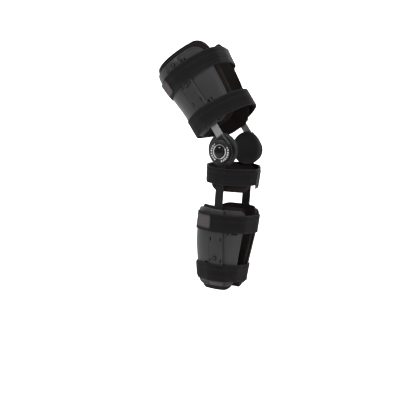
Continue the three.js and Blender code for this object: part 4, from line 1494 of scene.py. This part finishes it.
def webbing(name, dark, light, edge_colour, sheen, banding):
    """Strap cloth: lengthwise ribs and bands under a fine pile, with an edge of its own colour."""
    made, tree, shader = surface_material(name, Roughness=0.9, Sheen_Weight=sheen, Sheen_Roughness=0.4)
    shader.inputs["Sheen Tint"].default_value = linear("#8a8090")
    shader.inputs["Specular IOR Level"].default_value = 0.25
    place = node(tree, "ShaderNodeTexCoord")
    along = node(
        tree,
        "ShaderNodeMapping",
        {"Vector": place.outputs["Object"], "Scale": [RIB_SIZE / RIB_LENGTH] * 3},
    )
    across = node(tree, "ShaderNodeAttribute", attribute_name="across")
    ribs = node(
        tree,
        "ShaderNodeTexNoise",
        {
            "Vector": along.outputs["Vector"],
            "W": across.outputs["Fac"],
            "Scale": 1 / RIB_SIZE,
            "Detail": 2.0,
        },
        noise_dimensions="4D",
    )
    pile = node(
        tree,
        "ShaderNodeTexNoise",
        {"Vector": place.outputs["Object"], "Scale": 1 / PILE_SIZE, "Detail": 2.0},
    )
    height = node(
        tree, "ShaderNodeMix", {0: 0.45, 2: ribs.outputs["Fac"], 3: pile.outputs["Fac"]}
    )
    bands = node(
        tree,
        "ShaderNodeTexNoise",
        {"W": across.outputs["Fac"], "Scale": 1 / BAND_SIZE, "Detail": 1.0},
        noise_dimensions="1D",
    )
    wear_and_painted_highlight = node(
        tree, "ShaderNodeMapRange", {"Value": bands.outputs["Fac"], "From Min": 0.35, "From Max": 0.65}
    )
    brushed = node(
        tree, "ShaderNodeMix", {0: banding, 2: height.outputs[0], 3: wear_and_painted_highlight.outputs["Result"]}
    )
    tone = node(
        tree,
        "ShaderNodeMix",
        {0: brushed.outputs[0], 6: linear(dark), 7: linear(light)},
        data_type="RGBA",
    )
    edge = node(tree, "ShaderNodeAttribute", attribute_name="edge")
    edged = node(
        tree,
        "ShaderNodeMix",
        {0: edge.outputs["Fac"], 6: tone.outputs[2], 7: linear(edge_colour)},
        data_type="RGBA",
    )
    tree.links.new(edged.outputs[2], shader.inputs["Base Color"])
    loops = node(
        tree, "ShaderNodeBump", {"Height": height.outputs[0], "Strength": 0.5, "Distance": 0.0007}
    )
    tree.links.new(loops.outputs["Normal"], shader.inputs["Normal"])
    return made


strap_cloth = webbing("black_loop_pile_webbing", "#040304", "#161416", "#272327", 0.08, 0.5)

for seed, (name, strap) in enumerate(STRAPS.items(), 40):
    loop = strap_loop(name, strap, seed)
    loop.data.materials.append(strap_cloth)
    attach(loop, strap["half"])
    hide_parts(name)


# Strap tabs and ends.
# Cloth ends pressed onto their strap by a hook patch beneath: three grey felt grip tabs with
# rounded corners, and the plain end of the knee strap, which hangs a little below its strap.
END_THICKNESS = 1.4
END_GAP = 0.3
END_CORNER = 7.0
END_RIM_INSET = 0.7
END_RIM_BULGE = 0.6
END_PRESS = 0.15
END_SWELL = (0.12, 16)
END_BORDER = 2.6
END_BORDER_BLUR = 0.8
END_DENT_WIDTH = 0.7
END_DENT_DEPTH = 0.3

# Reach as degrees round from the outer side towards the front, and how far each edge stands
# back from the strap's edge
STRAP_ENDS = {
    "thigh_strap_upper_tab": dict(strap="thigh_strap_upper", start=-58, stop=-29, low=3, high=2),
    "calf_strap_upper_tab": dict(strap="calf_strap_upper", start=-42, stop=-12, low=6, high=4),
    "calf_strap_lower_tab": dict(strap="calf_strap_lower", start=-110, stop=-58, low=3, high=3),
    "knee_strap_end": dict(strap="knee_strap", start=92, stop=128, low=-9, high=8),
}


def end_span(outs, start, stop):
    """Steps round a strap's loop where an end starts and stops."""
    middle = outs[len(outs) // 2]
    turn = np.unwrap(np.arctan2(-middle[:, 1], -middle[:, 0]))
    turn -= 2 * np.pi * np.round(turn[0] / 2 / np.pi)
    turn = np.concatenate([turn - 2 * np.pi, turn])
    steps = np.arange(-STRAP_COUNT, STRAP_COUNT)
    return np.interp(np.radians([start, stop]), np.maximum.accumulate(turn), steps)


def end_surface(end, off, inset):
    """Grid over a strap end with rounded corners, drawn in by an inset."""
    strap = STRAPS[end["strap"]]
    width = strap["high"] - strap["low"]
    rows, outs = strap_rows(end["strap"], strap, [0.0, 1.0])
    first, last = end_span(outs, end["start"], end["stop"])
    length = np.linalg.norm(np.diff(rows[0], axis=0, append=rows[0][:1]), axis=1).sum()
    per_step = length / STRAP_COUNT
    run = (last - first) * per_step
    turn = np.linspace(0, np.pi / 2, 9)
    corner = END_CORNER - inset
    flat = np.linspace(inset + corner, run - inset - corner, int(run / 2))[1:-1]
    curve = inset + corner * (1 - np.cos(turn))
    at = np.concatenate([curve, flat, run - curve[::-1]])
    drawn = np.concatenate([corner * (1 - np.sin(turn)), 0 * flat, corner * (1 - np.sin(turn[::-1]))])
    low = end["low"] + inset + drawn
    high = width - end["high"] - inset - drawn
    part = low + (high - low) * np.linspace(0, 1, 25)[:, None]
    steps = first + at / per_step
    around = np.arange(-STRAP_COUNT, STRAP_COUNT)
    share = (part / width)[..., None]
    sampled = []
    for grid in (rows, outs):
        ends = [[np.interp(steps, around, np.tile(row[:, k], 2)) for k in (0, 1)] for row in grid]
        low_row, high_row = (np.stack(end_row, -1) for end_row in ends)
        sampled.append(low_row + (high_row - low_row) * share)
    return strap_points(strap, *sampled, off + 0 * part, strap["low"] + part), part / 1000


def strap_end(name, end, seed):
    """Flat cloth end that lies on its strap, thinner towards its edge."""
    start = STRAP_GAP + STRAP_THICKNESS + END_GAP
    surface, across = end_surface(end, start, END_RIM_INSET)
    rim = rim_distance(surface)
    dent = END_DENT_DEPTH * ridge(rim - END_BORDER, END_DENT_WIDTH)
    soft = END_SWELL[0] * ripple(surface, END_SWELL[1], seed) - dent
    outside = end_surface(end, start + END_THICKNESS - END_PRESS + soft, END_RIM_INSET)[0]
    points, faces = wall(surface, outside, bulge=END_RIM_BULGE)
    edge = smooth_step((END_BORDER - rim) / END_BORDER_BLUR)
    marks = {
        "across": wall_marks(points, across, across, 0.0),
        "edge": wall_marks(points, 0 * edge, edge, 1.0),
    }
    end_points = placed(points, STRAPS[end["strap"]]["half"])
    return mesh_piece(name + "_cloth", end_points, faces, smooth_angle=60, marks=marks)


# Grey felt: matt, soft and plain, its pressed border a shade darker.
tab_felt = webbing("grey_pressed_felt", "#423d3f", "#595455", "#3a3537", 0.08, 0.1)

for seed, (name, end) in enumerate(STRAP_ENDS.items(), 60):
    cloth = strap_end(name, end, seed)
    grey = name.endswith("_tab")
    cloth.data.materials.append(tab_felt if grey else strap_cloth)
    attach(cloth, STRAPS[end["strap"]]["half"])
    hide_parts(name)


# Stitches.
# Lockstitch in bonded polyester thread, 3 mm apart: one row on the binding of each foam pad and
# one round each strap end. Each row is one run of the sewing machine.
STITCH_PITCH = 3.0
STITCH_LENGTH = 2.3
STITCH_THICKNESS = 0.7
PAD_SEAM_INSET = 4.4
PAD_SEAM_STAND = 0.1
END_SEAM_INSET = 3.3
END_SEAM_SUNK = 0.3

stitch_tree, sizes = geometry_tree("stitches", ["Pitch", "Length", "Thickness"], ["Thread"])
seam = node(stitch_tree, "GeometryNodeMeshToCurve", {"Mesh": sizes["Geometry"]})
spaced = node(
    stitch_tree,
    "GeometryNodeResampleCurve",
    {"Curve": seam.outputs["Curve"], "Length": sizes["Pitch"]},
    mode="LENGTH",
)
thread = node(stitch_tree, "GeometryNodeMeshUVSphere", {"Segments": 8, "Rings": 6, "Radius": 0.5})
along_seam = node(stitch_tree, "GeometryNodeInputTangent")
laid = node(
    stitch_tree,
    "FunctionNodeAlignRotationToVector",
    {"Vector": along_seam.outputs["Tangent"]},
    axis="X",
)
stitch_size = node(
    stitch_tree,
    "ShaderNodeCombineXYZ",
    {"X": sizes["Length"], "Y": sizes["Thickness"], "Z": sizes["Thickness"]},
)
sewn = node(
    stitch_tree,
    "GeometryNodeInstanceOnPoints",
    {
        "Points": spaced.outputs["Curve"],
        "Instance": thread.outputs["Mesh"],
        "Rotation": laid.outputs["Rotation"],
        "Scale": stitch_size.outputs["Vector"],
    },
)
real = node(stitch_tree, "GeometryNodeRealizeInstances", {"Geometry": sewn.outputs["Instances"]})
threaded = node(
    stitch_tree,
    "GeometryNodeSetMaterial",
    {"Geometry": real.outputs["Geometry"], "Material": sizes["Thread"]},
)
node(stitch_tree, "NodeGroupOutput", {"Geometry": threaded.outputs["Geometry"]})

# Bonded polyester: dark grey-brown and slightly shiny, so that each stitch catches the light.
# The twist of its strands shows every 0.4 mm.
TWIST_SIZE = 0.0004
bonded_thread, tree, shader = surface_material("bonded_polyester_thread", Roughness=0.55, IOR=1.55)
place = node(tree, "ShaderNodeTexCoord")
twist = node(
    tree,
    "ShaderNodeTexNoise",
    {"Vector": place.outputs["Object"], "Scale": 1 / TWIST_SIZE, "Detail": 1.0},
)
tone = node(
    tree,
    "ShaderNodeMix",
    {0: twist.outputs["Fac"], 6: linear("#221d1b"), 7: linear("#3f3835")},
    data_type="RGBA",
)
tree.links.new(tone.outputs[2], shader.inputs["Base Color"])


def pad_seam(half, sign, outline, thickness):
    """Line round a pad on its binding, where the stitches lie."""
    inner = dict(
        outline,
        low=outline["low"] + PAD_SEAM_INSET,
        high=outline["high"] - PAD_SEAM_INSET,
        low_corner=outline["low_corner"] - PAD_SEAM_INSET,
        high_corner=outline["high_corner"] - PAD_SEAM_INSET,
    )
    heights, drawn = outline_rows(inner, PAD_ROW_STEP)
    back, front = row_edges(half, inner, heights, drawn + PAD_SEAM_INSET)
    off = pad_outside(PAD_SEAM_INSET - PAD_RIM_INSET, thickness) + PAD_SEAM_STAND
    angles = back[:, None] + (front - back)[:, None] * np.linspace(0, 1, 41)
    grid = form_point(half, sign, angles, np.broadcast_to(heights[:, None], angles.shape), off)
    return grid_rim(grid)


def end_seam(end):
    """Line round a strap end, where the stitches lie."""
    top = STRAP_GAP + STRAP_THICKNESS + END_GAP + END_THICKNESS
    return grid_rim(end_surface(end, top - END_SEAM_SUNK, END_SEAM_INSET)[0])


for half in FORM:
    seams = []
    for name, outline in {**CUFF_PADS, **KNEE_PADS}.items():
        body, _, side = name.split("_")
        thickness = KNEE_PAD_THICKNESS if body == "knee" else PAD_THICKNESS
        if half == ("calf" if body == "knee" else body):
            seams.append(pad_seam(half, SIDES[side], outline, thickness))
    seams += [end_seam(e) for e in STRAP_ENDS.values() if STRAPS[e["strap"]]["half"] == half]
    edges, start = [], 0
    for line in seams:
        steps = start + np.arange(len(line))
        edges += np.stack([steps, np.roll(steps, -1)], 1).tolist()
        start += len(line)
    base = bpy.data.meshes.new(f"{half}_seams")
    base.from_pydata(placed(np.concatenate(seams), half).tolist(), edges, [])
    values = {
        "Pitch": STITCH_PITCH / 1000,
        "Length": STITCH_LENGTH / 1000,
        "Thickness": STITCH_THICKNESS / 1000,
        "Thread": bonded_thread,
    }
    stitches = grown_piece(f"{half}_stitches", base, stitch_tree, values, smooth_angle=60)
    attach(stitches, half)


# Floor, light and camera.
# Plain pale paper sweep that curves up behind the brace, a soft key light high on the camera's
# left, a wider fill on its right, a rim light, and one light for the sweep alone.
VIEW_TARGET = np.array([-0.049, 0.066, -0.111])
VIEW_AZIMUTH = math.radians(-59)
VIEW_ELEVATION = math.radians(4)
VIEW_DISTANCE = 4.0
VIEW_WIDTH = 0.9
back = np.array(
    [
        math.sin(VIEW_AZIMUTH) * math.cos(VIEW_ELEVATION),
        -math.cos(VIEW_AZIMUTH) * math.cos(VIEW_ELEVATION),
        math.sin(VIEW_ELEVATION),
    ]
)
right = np.array([math.cos(VIEW_AZIMUTH), math.sin(VIEW_AZIMUTH), 0])
above = np.cross(back, right)


def aim(thing, position, target):
    """Stands a light or camera at a point, looking at another, with its top up."""
    thing.location = position
    thing.rotation_euler = (Vector(target) - Vector(position)).to_track_quat("-Z", "Y").to_euler()


def soft_light(name, from_right, from_above, from_back, size, power):
    """Square soft light, placed by metres to the right of, above and behind the camera's target."""
    lamp = bpy.data.lights.new(name, "AREA")
    lamp.size = size
    lamp.energy = power
    light = new_object(name, lamp)
    aim(light, VIEW_TARGET + right * from_right + above * from_above + back * from_back, VIEW_TARGET)
    return light


soft_light("key", from_right=-1.15, from_above=1.3, from_back=0.8, size=0.75, power=20)
soft_light("fill", from_right=1.1, from_above=1.0, from_back=1.2, size=1.2, power=18)
soft_light("rim", from_right=0.9, from_above=1.2, from_back=-1.6, size=1.2, power=24)
paper_light = soft_light("paper", from_right=0, from_above=3.0, from_back=-2.8, size=3.0, power=290)
aim(paper_light, paper_light.location, VIEW_TARGET - 5.0 * back)
bpy.context.scene.view_settings.view_transform = "Standard"

world = bpy.data.worlds.new("studio")
bpy.context.scene.world = world
world.use_nodes = True
world.node_tree.nodes["Background"].inputs["Color"].default_value = linear("#ffffff")
world.node_tree.nodes["Background"].inputs["Strength"].default_value = 0.3

FLOOR_HEIGHT = -0.52
SWEEP_RADIUS = 1.8
SWEEP_BACK = 3.4
SWEEP_FRONT = 20.0
SWEEP_HALF_WIDTH = 12.0
SWEEP_TOP = 5.0
turn = np.linspace(0, np.pi / 2, 24)
curve_away, curve_rise = SWEEP_BACK + SWEEP_RADIUS * np.sin(turn), SWEEP_RADIUS * (1 - np.cos(turn))
away = np.concatenate([[-SWEEP_FRONT], curve_away, [SWEEP_BACK + SWEEP_RADIUS]])
rise = np.concatenate([[0], curve_rise, [SWEEP_TOP]]) + FLOOR_HEIGHT
level = np.array([back[0], back[1], 0]) / math.cos(VIEW_ELEVATION)
edges = [
    VIEW_TARGET * [1, 1, 0] - away[:, None] * level + rise[:, None] * [0, 0, 1] + side * right
    for side in (-SWEEP_HALF_WIDTH, SWEEP_HALF_WIDTH)
]
count = len(away)
strips = [(i, i + 1, count + i + 1, count + i) for i in range(count - 1)]
sweep_mesh = bpy.data.meshes.new("paper_sweep")
sweep_mesh.from_pydata(np.concatenate(edges).tolist(), [], strips)
sweep_mesh.shade_smooth()
paper, tree, shader = surface_material("white_background_paper", Roughness=0.95)
shader.inputs["Base Color"].default_value = linear("#f6f5f4")
sweep_mesh.materials.append(paper)
sweep = new_object("paper_sweep", sweep_mesh)

camera_lens = bpy.data.cameras.new("camera")
camera = new_object("camera", camera_lens)
camera_lens.angle = 2 * math.atan(VIEW_WIDTH / 2 / VIEW_DISTANCE)
aim(camera, VIEW_TARGET + back * VIEW_DISTANCE, VIEW_TARGET)
bpy.context.scene.camera = camera
